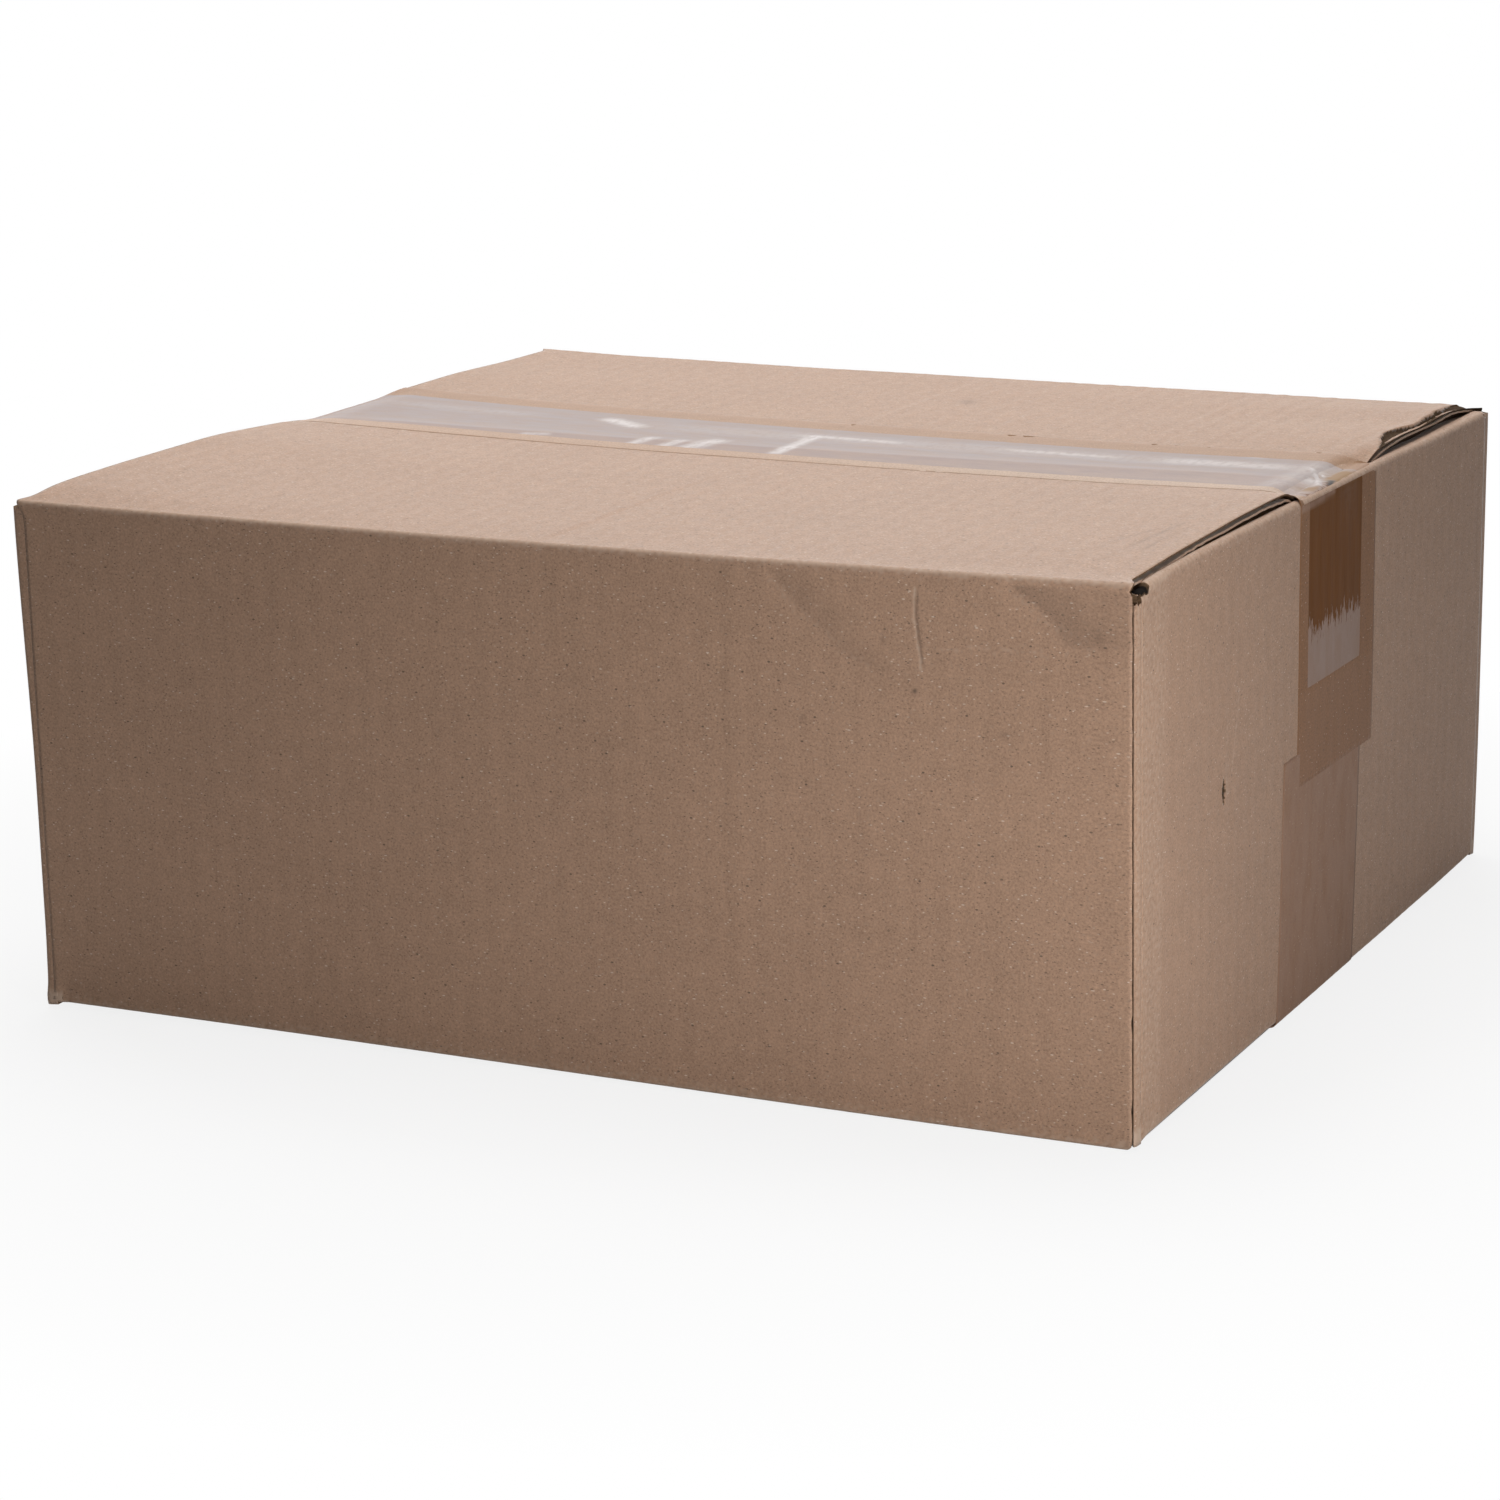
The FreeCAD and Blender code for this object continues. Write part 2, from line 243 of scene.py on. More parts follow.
def put_mesh(name, points, faces, materials, face_materials, smooth, uv, masks):
    """A mesh object from arrays: points in millimetres, faces as rows of corners (-1 fills a triangle).

    face_materials and smooth hold one value per face, uv one pair per point, in metres along the
    sheet, and masks one number per point by name.
    """
    mesh = bpy.data.meshes.new(name)
    used = faces >= 0
    sizes = used.sum(1).astype(np.int32)
    corners = faces[used].astype(np.int32)
    mesh.vertices.add(len(points))
    mesh.vertices.foreach_set("co", (points * MM).astype(np.float32).ravel())
    mesh.loops.add(len(corners))
    mesh.loops.foreach_set("vertex_index", corners)
    mesh.polygons.add(len(sizes))
    mesh.polygons.foreach_set("loop_start", (np.cumsum(sizes) - sizes).astype(np.int32))
    for material in materials:
        mesh.materials.append(material)
    mesh.polygons.foreach_set("material_index", face_materials.astype(np.int32))
    mesh.update(calc_edges=True)
    layer = mesh.uv_layers.new(name="sheet")
    layer.data.foreach_set("uv", uv.astype(np.float32)[corners].ravel())
    for label, values in masks.items():
        layer = mesh.attributes.new(label, "FLOAT", "POINT")
        layer.data.foreach_set("value", values.astype(np.float32))
    mesh.polygons.foreach_set("use_smooth", smooth)
    mesh.validate()
    piece = bpy.data.objects.new(name, mesh)
    bpy.context.scene.collection.objects.link(piece)
    return piece


def border(rows, columns):
    """Indices of a grid's outline, once round: first row, last column, and the same two backwards."""
    grid = np.arange(rows * columns).reshape(rows, columns)
    return np.concatenate([grid[0, :-1], grid[:-1, -1], grid[-1, :0:-1], grid[:0:-1, 0]])


def grid_faces(rows, columns, first=0):
    """The four-sided faces of a grid of points."""
    grid = np.arange(rows * columns).reshape(rows, columns) + first
    return np.stack([grid[:-1, :-1], grid[:-1, 1:], grid[1:, 1:], grid[1:, :-1]], -1).reshape(-1, 4)


def ring_faces(upper, lower):
    """Faces between two closed rings with as many points each."""
    return np.stack([upper, lower, np.roll(lower, -1), np.roll(upper, -1)], -1)


def coarse_lines(count):
    """Every fourth line of a grid, and the last."""
    return np.append(np.arange(0, count - 1, INNER_STEP), count - 1)


def stitch(fine, coarse, places):
    """Triangles between a ring and a coarser ring whose points stand at some places of the first.

    Each step along the fine ring makes a triangle with the coarse point at or before it, and each
    step along the coarse ring makes one with the fine point where it ends.
    """
    before = np.searchsorted(places, np.arange(len(fine)), side="right") - 1
    fine_steps = np.stack([fine, coarse[before], np.roll(fine, -1)], -1)
    coarse_steps = np.stack([np.roll(fine[places], -1), coarse, np.roll(coarse, -1)], -1)
    triangles = np.concatenate([fine_steps, coarse_steps])
    return np.column_stack([triangles, np.full(len(triangles), -1)])


def rim_inward(outer, rim):
    """Unit vectors that point from the rim of a grid into its face."""
    inward = np.zeros_like(outer)
    inward[0] += outer[1] - outer[0]
    inward[-1] += outer[-2] - outer[-1]
    inward[:, 0] += outer[:, 1] - outer[:, 0]
    inward[:, -1] += outer[:, -2] - outer[:, -1]
    inward = inward.reshape(-1, 3)[rim]
    return inward / np.linalg.norm(inward, axis=1)[:, None]


def closed_sheet(name, outer, inner, uv, materials, masks, cut_side=0, stand=("carton", "board")):
    """A closed sheet of board or film from its outer and inner face, given on the same grid.

    Round the rim the two facings keep their thickness, and between them the rim steps back by the
    depth in cut_side, which opens the flute. The inner facing keeps every fourth line and is
    stitched to the rim. Rim faces, and outer faces that are torn or painted with hole shade,
    have the second material.
    """
    rows, columns = outer.shape[:2]
    grid = np.arange(rows * columns).reshape(rows, columns)
    kept = grid[np.ix_(coarse_lines(rows), coarse_lines(columns))]
    rim = border(rows, columns)
    top = outer.reshape(-1, 3)[rim]
    through = inner.reshape(-1, 3)[rim] - top
    step_back = rim_inward(outer, rim) * max(cut_side, HIDDEN_SIDE)
    under_facing = top + through * (FACING / BOARD)
    over_lining = top + through * (1 - FACING / BOARD)
    rings = [under_facing, under_facing + step_back, over_lining + step_back, over_lining]
    points = np.concatenate([outer.reshape(-1, 3), *rings, inner.reshape(-1, 3)[kept.ravel()]])

    ring_ids = [rim] + [grid.size + len(rim) * index + np.arange(len(rim)) for index in range(4)]
    inner_first = grid.size + 4 * len(rim)
    inner_rim = border(*kept.shape)
    place_in_rim = np.zeros(grid.size, int)
    place_in_rim[rim] = np.arange(len(rim))
    faces = [grid_faces(rows, columns)]
    faces += [ring_faces(one, other) for one, other in zip(ring_ids, ring_ids[1:])]
    faces.append(stitch(ring_ids[-1], inner_rim + inner_first, place_in_rim[kept.ravel()[inner_rim]]))
    faces.append(grid_faces(*kept.shape, inner_first)[:, ::-1])
    counts = [len(part) for part in faces]
    kinds = np.repeat([0, 1, 1, 1, 1, 0, 0], counts)
    smooth = np.repeat([True, False, False, False, False, False, True], counts)
    if "bare" in masks:
        kinds[:counts[0]] = masks["bare"].ravel()[faces[0]].mean(1) > 0.5

    def spread(values):
        """The values of a grid for every point of the sheet: outer face, rings and inner face."""
        flat = values.reshape(grid.size, -1)
        return np.concatenate([flat] + [flat[rim]] * 4 + [flat[kept.ravel()]])

    masks = {label: spread(values)[:, 0] for label, values in masks.items()}
    faces = np.concatenate(faces)[:, ::-1]
    piece = put_mesh(name, points, faces, materials, kinds, smooth, spread(uv), masks)
    stands_for(piece, *stand)


def stands_for(piece, node, finish):
    """The piece rides on the box and replaces its solid, which is hidden; finish is not used."""
    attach(piece, "root")
    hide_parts(node)


# The folded board

def folded_sheet(name, section, place, columns, rows, mirrored, materials, masks, cut_side):
    """A panel with its top and bottom flap as one closed sheet.

    columns runs along the crease, and rows is the way round the section, from the top flap's free
    edge over the crease, down the panel and under the box. A mirrored sheet runs the other way
    along the crease, so that its outer face still points out of the box.
    """
    if mirrored:
        columns = -columns[::-1]
    run, way = np.meshgrid(columns, rows)
    along = -run if mirrored else run
    parts = section(along, way)
    outer = place(along, way, *parts[:2])
    inner = place(along, way, *inside_section(*parts))
    uv = np.stack([run, way], -1) * MM
    closed_sheet(name, outer, inner, uv, materials, masks(outer, way), cut_side)


def section_lines(fine, coarse, reach, wall, fold):
    """The way round a section: flap, quarter turn, wall, quarter turn, flap, as one running length.

    0 is where the top flap starts to turn; the flap lies at negative lengths and the wall after
    the turn. The step is fine where the camera looks.
    """
    turn = fold * math.pi / 2
    flap = spaced(-reach, -4.0, fine[0])
    near = np.array([-3.2, -2.4, -1.7, -1.1, -0.5])
    bend = np.linspace(0, turn, 7)
    edge = turn + np.array([0.4, 0.9, 1.5, 2.2, 3.0])
    upper = spaced(turn + 4.0, turn + wall * 0.3, fine[1])
    lower = spaced(turn + wall * 0.3, turn + wall - 3.0, coarse[0])
    second = turn + wall + np.linspace(0, turn, 6)
    under = spaced(2 * turn + wall + 1.5, 2 * turn + wall + reach, coarse[1])
    return np.unique(np.concatenate([flap, near, bend, edge, upper, lower, second, under]).round(5))


def turned_section(way, fold, crease_in, top_of, bottom_of, wall_out):
    """Distance out from the box's middle and height of a point on the section.

    The section is the flap at the height top_of(out), a quarter turn of the fold radius, the wall
    wall_out(height) out, another quarter turn and the lower flap at bottom_of(out). It also gives
    the heights of both creases and the wall's distance, which the inner facing is made from.
    """
    turn = fold * math.pi / 2
    high = top_of(crease_in)
    low = bottom_of(crease_in)
    nominal = TOP - FLOOR_FACE - 2 * fold
    wall = np.clip((way - turn) / nominal, 0, 1)
    height = (high - fold) * (1 - wall) + (low + fold) * wall
    wall_face = wall_out(height)
    corner = wall_face - fold
    flap = way < 0
    first = (way >= 0) & (way < turn)
    second = (way > turn + nominal) & (way <= 2 * turn + nominal)
    under = way > 2 * turn + nominal
    bend = np.clip(way / fold, 0, math.pi / 2)
    bend_low = np.clip((way - turn - nominal) / fold, 0, math.pi / 2)
    flap_out = corner + way
    under_out = corner - (way - 2 * turn - nominal)
    kinds = [flap, first, second, under]
    outs = [flap_out, corner + fold * np.sin(bend), corner + fold * np.cos(bend_low), under_out]
    heights = [top_of(np.where(flap, flap_out, crease_in)), high - fold + fold * np.cos(bend),
               low + fold - fold * np.sin(bend_low), bottom_of(np.where(under, under_out, crease_in))]
    return np.select(kinds, outs, wall_face), np.select(kinds, heights, height), high, low, wall_face


def inside_section(out, height, high, low, wall_face):
    """The inner facing: one board further in, with a plain corner where the two facings meet."""
    wall_side = wall_face - BOARD
    beside = out < wall_side
    on_top = (height > high - BOARD) | beside & (height > TOP / 2)
    below = (height < low + BOARD) | beside & (height < TOP / 2)
    in_height = np.where(out > wall_side, np.minimum(height, high - BOARD), height)
    in_height = np.where(on_top, np.where(beside, height, high) - BOARD, in_height)
    in_height = np.where(below, np.where(beside, height, low) + BOARD, in_height)
    return np.minimum(out, wall_side), in_height


LONG_FOLD = 1.3                     # radius of the long creases
LONG_WALL = TOP - FLOOR_FACE - 2 * LONG_FOLD


def long_section(side, along, way):
    """Points of a long panel and its flaps; side is -1 for the front and 1 for the back."""
    bulge = front_bulge if side < 0 else back_bulge

    def top_of(out):
        height = top_surface(along, side * out)
        return height - tear_depth(along, side * out) if side > 0 else height

    return turned_section(way, LONG_FOLD, np.full(along.shape, SIDE - LONG_FOLD), top_of,
                          lambda out: bottom_surface(along, side * out),
                          lambda height: SIDE + bulge(along, height))


def tear_reach(y):
    """How far in from the flap's end the facing is torn off at the back right, in a ragged line."""
    wide = between(y, (52, 60, 66, 72, 78, 84, 92, 100, 110, 120, 134, 146, 156, 162),
                   (0.0, 0.7, 1.9, 3.6, 5.4, 6.3, 4.8, 2.8, 2.4, 3.4, 3.4, 4.8, 6.5, 7.0))
    return wide + (0.8 * waves(y, 0, 9.0, 21) + 0.45 * waves(y, 0, 2.6, 22)) * ease(62, 70, y)


def tear_mask(x, y):
    """1 where the facing is gone from the back top flap."""
    return ease(-0.35, 0.35, tear_reach(y) - (FLAP_END - x)) * ease(56, 60, y)


def tear_depth(x, y):
    """Where the facing is gone, the surface drops to the fluted sheet below it."""
    return tear_mask(x, y) * (0.5 + 1.1 * (0.5 - 0.5 * np.cos(2 * math.pi * (FLAP_END - x) / FLUTE + 0.6)))


def widened(side, along, way):
    """Sideways shift that widens a long sheet near its ends.

    It reaches the box's corner where the top flap turns down, and on the front panel's right side
    it runs on to the glued joint, where its cut is a little frayed and crushed near the floor.
    """
    near_end = ease(FLAP_END - 12, FLAP_END, np.abs(along))
    shift = 2.5 * bell(way, 0.6, 3.4)
    if side < 0:
        wall = ease(1.0, 4.5, way) * (1 - ease(LONG_WALL + 1.5, LONG_WALL + 4.5, way))
        fray = 0.16 * waves(way, 0, 7.0, 41) + 0.10 * waves(way, 0, 3.2, 42)
        crushed = 0.3 * bell(way, LONG_WALL - 8.0, 1.4) + 0.3 * bell(way, 120.0, 1.5)
        to_joint = wall * (END - 0.6 - FLAP_END + fray - crushed)
        shift = np.where(along > 0, np.maximum(shift, to_joint), shift)
    return np.sign(along) * near_end * shift


def long_sheet(name, side, materials, columns, rows):
    """The front or back panel with its two long flaps."""
    def section(along, way):
        return long_section(side, along, way)

    def place(along, way, out, height):
        return np.stack([along + widened(side, along, way), side * out, height], -1)

    folded_sheet(name, section, place, columns, rows, side > 0, materials, crease_wear, GROOVE)


def crease_wear(points, way):
    """How scuffed the long sheets are, with painted highlight and shade on the front's dents.

    wear is most along the creases, the cut sides and the cracked facing, and quite
    through at the front left bottom corner, and is a painted highlight along the front's ridge and
    dent creases; bare is 1 in the tear; dim is painted shade past the dents and beside
    the crack, and the darkening of scratches and stains.
    """
    x, y, z = np.moveaxis(points, -1, 0)
    turn = LONG_FOLD * math.pi / 2
    creases = bell(way, turn / 2, 1.3) + bell(way, LONG_WALL + 1.5 * turn, 1.3)
    cut = 0.6 * bell(np.abs(x), FLAP_END, 1.2) * ((way < 0) | (way > LONG_WALL))
    on_front = (y < -SIDE + 3) & (z < TOP - 4)
    on_top = (z > TOP - 12) & (np.abs(y) < SIDE - 4)
    low_corner = 2 * (1 - ease(5.5, 6.5, z + 1.1 * (x + FLAP_END))) * (y < 0) * (x < 0)
    wear = np.clip(creases + cut + front_rubbing_and_fold_highlight(x, z) * on_front, 0, 1) + low_corner
    bare = tear_mask(x, y) * (y > 0) * (z > TOP - 12)
    top_marks = sum(crease_line(x, y, *mark) for mark in TOP_SCRATCHES) + spots(x, y, TOP_SPOTS)
    dim = np.where(on_front, front_shade(x, z), np.where(on_top, top_marks, 0.0))
    return {"wear": wear, "bare": bare, "dim": np.clip(dim, 0, 1)}


def front_rubbing_and_fold_highlight(x, z):
    """Where the front's cracked facing is scuffed pale, and a painted highlight along the ridge and dent
    creases.
    """
    crack = sum(crease_line(x + crack_wander(z), z, start, end, 0.5, 1.3) for start, end, *_ in FRONT_CRACK)
    folds = sum(crease_line(x, z, start, end, 1.1, 0.4) for start, end, *_ in FRONT_DENTS)
    return np.clip(0.85 * crack + crease_line(x, z, *FRONT_RIDGE[:2], 0.8, 0.4) + folds, 0, 1)


def front_shade(x, z):
    """Painted shade past the two bent dent creases, a painted shadow beside the crack, and small stains."""
    right = x - np.interp(z, (137, 143.5, 149.4, 153), (155.2, 151.6, 143.3, 138.5))
    left = x - np.interp(z, (125, 130, 137, 148.7, 152), (103, 91, 84, 72.5, 70))
    crack = x - np.interp(z, (125, 134, 142, 151), (115.2, 114.0, 113.0, 113.6))
    shade = 0.30 * ease(-0.3, 0.6, right) * (1 - 0.6 * ease(3, 18, right)) * ease(135, 137.5, z)
    shade = shade + 0.16 * ease(-0.3, 0.6, left) * (1 - ease(2, 16, left)) * ease(123, 128, z)
    shade = shade + 0.5 * bell(crack, 0.9, 0.4) * ease(126, 131, z) * (1 - ease(146, 150, z))
    return shade + spots(x, z, FRONT_SPOTS)


def spots(across, along, places):
    """Small soft dark marks."""
    return sum(strength * np.exp(-((across - a) / wide) ** 2 - ((along - b) / tall) ** 2)
               for a, b, wide, tall, strength in places)


# Spots: middle, half width, half height and strength. Scratches: start, end, half width and strength
FRONT_SPOTS = (
    (113.2, 121.0, 0.7, 0.7, 1.0),
    (104.4, 134.5, 0.45, 1.2, 0.7),
    (165.3, 139.5, 0.8, 0.5, 0.6),
    (138.8, 111.2, 1.2, 0.6, 0.5),
    (80.1, 110.9, 0.9, 0.7, 0.4),
    (173.4, 2.2, 1.4, 1.0, 0.8),
)
END_SPOTS = (
    (-156.4, 8.8, 0.6, 1.5, 0.9),
    (-155.8, 1.2, 1.2, 0.8, 0.8),
)
END_SCRATCHES = (
    ((-79, 112), (-88, 82), 0.5, 1.0),
    ((-89, 108), (-92, 84), 0.5, 0.7),
)
TOP_SPOTS = (
    (14.9, 108.2, 3.4, 3.0, 0.35),
    (16.0, 104.5, 2.0, 1.6, 0.35),
)
TOP_SCRATCHES = (
    ((156.6, -122.0), (160.3, -78.6), 0.6, 0.4),
    ((161.9, -124.0), (162.8, -92.5), 0.5, 0.3),
    ((150.2, -112.0), (156.8, -88.5), 0.5, 0.25),
)


def build_long_sheets(materials):
    """The front and the back, with finer lines at the cracked facing and at the tear."""
    near_crack = spaced(111, 117, 0.3)
    near_tear = spaced(FLAP_END - 9, FLAP_END, 0.35)
    reach = SIDE - LONG_FOLD - SEAM
    rows = section_lines((2.4, 1.0), (1.8, 9.0), reach, LONG_WALL, LONG_FOLD)
    long_sheet("board_front", -1, materials, spaced(-FLAP_END, FLAP_END, FLUTE / 7, near_crack), rows)
    rows = section_lines((2.4, 4.0), (5.0, 9.0), reach, LONG_WALL, LONG_FOLD)
    long_sheet("board_back", 1, materials, spaced(-FLAP_END, FLAP_END, FLUTE / 6, near_tear), rows)


END_FOLD = 1.9                      # radius of the end panels' creases
SHORT_REACH = END - END_FOLD - 13.0 # length of a short flap
SHORT_HALF = SIDE - BOARD - 1.0     # half its width
END_WALL = TOP - FLOOR_FACE - 2 * END_FOLD


def end_crease(side, y):
    """Height of the rounded crease of an end panel, a little above the short flap behind it."""
    if side > 0:
        crest = between(y, (-157, -143, -110, -80, 0, 60, 100, 157),
                        (152.3, 152.9, 153.3, 153.1, 152.3, 151.8, 151.1, 150.8))
        return crest - 1.7 * (1 - ease(-152.5, -150.0, y)) + 0.6 * bell(y, -154.0, 0.8)
    return between(y, (-157, -110, 0, 157), (153.0, 153.6, 152.4, 152.2))


def end_section(side, along, way):
    """Points of an end panel and its short flaps; side is 1 for the right and -1 for the left."""
    bulge = right_bulge if side > 0 else left_bulge
    crest = end_crease(side, along)

    def top_of(out):
        dip = ease(0, 4.5, END - END_FOLD - out)
        under_flap = np.minimum(top_surface(side * np.minimum(out, FLAP_END), along) - BOARD - 0.5, crest)
        return crest * (1 - dip) + under_flap * dip

    def bottom_of(out):
        dip = ease(0, 5.0, END - END_FOLD - out)
        sill = end_sill(side, along)
        level = sill + (FLOOR_FACE + BOARD + 0.4 - sill) * dip
        return level + bottom_surface(side * out, along) - FLOOR_FACE

    return turned_section(way, END_FOLD, np.full(along.shape, END - END_FOLD), top_of, bottom_of,
                          lambda height: END + bulge(along, height) - puncture_depth(side, along, height))


def end_sill(side, y):
    """How far the crease under an end panel stands off the floor: most at the front of the right end."""
    return 0.35 + 0.75 * (1 - ease(-50, -38, y)) * ease(-158, -150, y) * (side > 0)


def puncture_depth(side, y, z):
    """The small upright hole poked into the right end panel."""
    if side < 0:
        return 0.0
    middle, half_height = 82.8, 3.6
    half_width = 0.25 + 1.05 * np.clip(1 - ((z - middle) / half_height) ** 2, 0, 1)
    aside = np.abs(y + 93.2 + 0.035 * (z - 84)) / half_width
    deep = 2.9 * (1 - ease(0.6, 1.1, aside)) * (np.abs(z - middle) < half_height)
    lip = 0.22 * bell(y, -93.2, 2.6) * bell(z, 84, 5.5)
    return deep - lip


def end_sheet(name, side, materials, columns, rows):
    """The right or left end panel with its two short flaps, between the long panels."""
    def section(along, way):
        return end_section(side, along, way)

    def place(along, way, out, height):
        return np.stack([side * out, along, height], -1)

    folded_sheet(name, section, place, columns, rows, side < 0, materials, end_wear, 0)


def end_wear(points, way):
    """How scuffed and marked the end panels are.

    wear is most along the creases, and on the right end along its scratches, and is a
    painted highlight on the strip beside the glued joint; bare is up to 2 for painted
    shade in the hole and in the open front top corner; dim is the darkening of stains.
    """
    x, y, z = np.moveaxis(points, -1, 0)
    turn = END_FOLD * math.pi / 2
    wear = 0.7 * bell(way, turn / 2, 1.9) + bell(way, END_WALL + 1.5 * turn, 1.6)
    scratch = sum(crease_line(y, z, *mark) for mark in END_SCRATCHES)
    # painted highlight: the strip beside the glued joint, where the panel bends a little towards the light
    strip = 0.45 * (1 - ease(-141.5, -139.5, y - 0.03 * (z - 70)))
    wear = np.clip(wear + (0.9 * scratch + strip) * (x > 0), 0, 1)
    # painted shade: the puncture and the open front top corner are painted near black, as the dark inside a
    # hole
    hole = np.clip(puncture_depth(1, y, z) / 0.8, 0, 2)
    ragged = 0.5 * waves(y, z, 3.0, 37)
    corner_gap = (1 - ease(-152.4, -151.6, y + 3 * ragged)) * ease(149.7, 150.1, z - 2 * ragged)
    top_gap = (1 - ease(-151.5, -150.5, y)) * ease(150.2, 150.8, z + ragged)
    hole = np.maximum(hole, 2 * np.maximum(corner_gap, top_gap)) * (x > 0)
    dim = spots(y, z, END_SPOTS) * (x > 0)
    return {"wear": wear, "bare": hole, "dim": dim}


def build_end_sheets(materials):
    """Both ends, with finer lines at the hole in the right one."""
    near_hole = spaced(-96.5, -78.0, 0.3)
    rows = section_lines((8.0, 1.6), (1.9, 9.0), SHORT_REACH, END_WALL, END_FOLD)
    rows = np.unique(np.concatenate([rows, spaced(62, 80, 0.9)]))
    end_sheet("board_right_end", 1, materials, spaced(-SHORT_HALF, SHORT_HALF, FLUTE / 6, near_hole), rows)
    rows = section_lines((8.0, 3.0), (4.5, 9.0), SHORT_REACH, END_WALL, END_FOLD)
    end_sheet("board_left_end", -1, materials, spaced(-SHORT_HALF, SHORT_HALF, FLUTE / 5), rows)


def corner_strip(name, path, inner_path, low, high, materials, uv_start, rub=0.5, rubbed_and_highlight=0.2):
    """An upright strip of board folded round a corner.

    path gives the outer plan point for a share of the way and a height, and low and high are the
    ragged heights of the strip's ends as functions of the share. It is paler at the share rub, by
    scuffing and on the glue tab mostly by a painted highlight, and quite scuffed where it stands on the
    floor.
    """
    rises = np.concatenate([np.linspace(0, 0.06, 7), np.linspace(0.09, 0.91, 40), np.linspace(0.94, 1, 7)])
    share, rise = np.meshgrid(np.linspace(0, 1, 33), rises)
    height = high(share) * (1 - rise) + low(share) * rise
    outer = np.stack([*path(share, height), height], -1)
    inner = np.stack([*inner_path(share, height), height], -1)
    uv = np.stack([uv_start + share * 12, height], -1) * MM
    wear = np.maximum(rubbed_and_highlight * bell(share, rub, 0.16), 2 * (1 - ease(4.0, 7.0, height)))
    closed_sheet(name, outer, inner, uv, materials, {"wear": wear, "bare": wear * 0})


TUCK = 0.03                         # how far a corner strip lies below the sheets that it joins
OVERLAP = 1.5                       # how far it runs on under them


def rounded_corner(corner_x, corner_y, start, stop, fold, offset):
    """Plan of a folded corner as a path: straight, a quarter turn of the fold radius, straight.

    start and stop are the ends of the strip as plan points, offset moves the corner by height.
    """
    way_in = np.sign([corner_x - start[0], corner_y - start[1]])
    way_out = np.sign([stop[0] - corner_x, stop[1] - corner_y])
    turn = fold * math.pi / 2

    def path(share, height):
        shift_x, shift_y = offset(height)
        x = corner_x + shift_x - math.copysign(TUCK, corner_x)
        y = corner_y + shift_y - math.copysign(TUCK, corner_y)
        first = (x - start[0]) * way_in[0] + (y - start[1]) * way_in[1] - fold + OVERLAP
        last = (stop[0] - x) * way_out[0] + (stop[1] - y) * way_out[1] - fold + OVERLAP
        run = share * (first + turn + last)
        angle = np.clip((run - first) / fold, 0, math.pi / 2)
        come = fold * (np.sin(angle) - 1) + np.minimum(run - first, 0)
        leave = fold * (1 - np.cos(angle)) + np.maximum(run - first - turn, 0)
        return x + way_in[0] * come + way_out[0] * leave, y + way_in[1] * come + way_out[1] * leave

    return path


def build_corners(materials):
    """The three folded corners, and the fold of the glue tab behind the front panel's cut edge."""
    fold = 2.2
    plans = (
        ("board_corner_front_left", (-END, -SIDE), (-END, -SHORT_HALF), (-FLAP_END, -SIDE)),
        ("board_corner_back_left", (-END, SIDE), (-FLAP_END, SIDE), (-END, SHORT_HALF)),
        ("board_corner_back_right", (END, SIDE), (END, SHORT_HALF), (FLAP_END, SIDE)),
    )
    for name, (x, y), start, stop in plans:
        right, back = math.copysign(1, x), math.copysign(1, y)
        end_bulge = right_bulge if x > 0 else left_bulge
        long_bulge = back_bulge if y > 0 else front_bulge
        crease = back_crease if y > 0 else front_crease

        def offset(height, right=right, back=back, end_bulge=end_bulge, long_bulge=long_bulge):
            """How far the corner stands out in x and y at a height, as the panels beside it do."""
            along_end = np.full(height.shape, back * SHORT_HALF)
            along_side = np.full(height.shape, right * FLAP_END)
            return right * end_bulge(along_end, height), back * long_bulge(along_side, height)

        path = rounded_corner(x, y, start, stop, fold, offset)

        def inner(share, height, path=path, right=right, back=back):
            """The same way round, with both panels' inner faces carried on into the corner."""
            outer_x, outer_y = path(share, height)
            inner_x = right * np.minimum(np.abs(outer_x), END - BOARD)
            return inner_x, back * np.minimum(np.abs(outer_y), SIDE - BOARD)

        def low(share):
            return 0.8 + 1.2 * np.abs(share - 0.5)

        def high(share, top=float(crease(x))):
            return top - 1.6 + 0.5 * waves(share * 12, 0, 5.0, 31)

        corner_strip(name, path, inner, low, high, materials, x)
    # painted highlight: the glue tab's rounded fold is lightened strongly where it turns towards the key
    # light
    corner_strip("board_glue_tab", joint_path, joint_inner, joint_low, joint_top, materials, 150,
                 rub=0.78, rubbed_and_highlight=0.6)


# The glued joint: share of the way, distance in from the end's face, distance in from the front's
TAB_IN = BOARD + 0.3
JOINT = (
    (0.0, 34.0, TAB_IN), (0.22, 5.0, TAB_IN), (0.34, 2.4, TAB_IN - 0.8), (0.44, 1.5, 2.4),
    (0.52, 0.95, 1.45), (0.60, 0.55, 1.35), (0.68, 0.25, 1.9), (0.78, 0.08, 3.0), (0.88, 0.0, 4.0),
    (1.0, 0.0, SIDE - SHORT_HALF),
)


def joint_path(share, height):
    """The glue tab behind the front panel, the step out past its cut edge, and the end's wide fold."""
    shares, in_x, in_y = np.array(JOINT).T
    x = between(share, shares, END - in_x)
    y = between(share, shares, in_y - SIDE)
    bulge = right_bulge(np.full(height.shape, -SHORT_HALF), height)
    return x + bulge * ease(0.5, 0.8, share), y + 0.08 * waves(height, 0, 30.0, 35)


def joint_inner(share, height):
    """The inner face of the tab and of the end panel beside it."""
    x, y = joint_path(share, height)
    return np.minimum(x, END - BOARD), np.maximum(y, TAB_IN - SIDE + BOARD - 0.6)


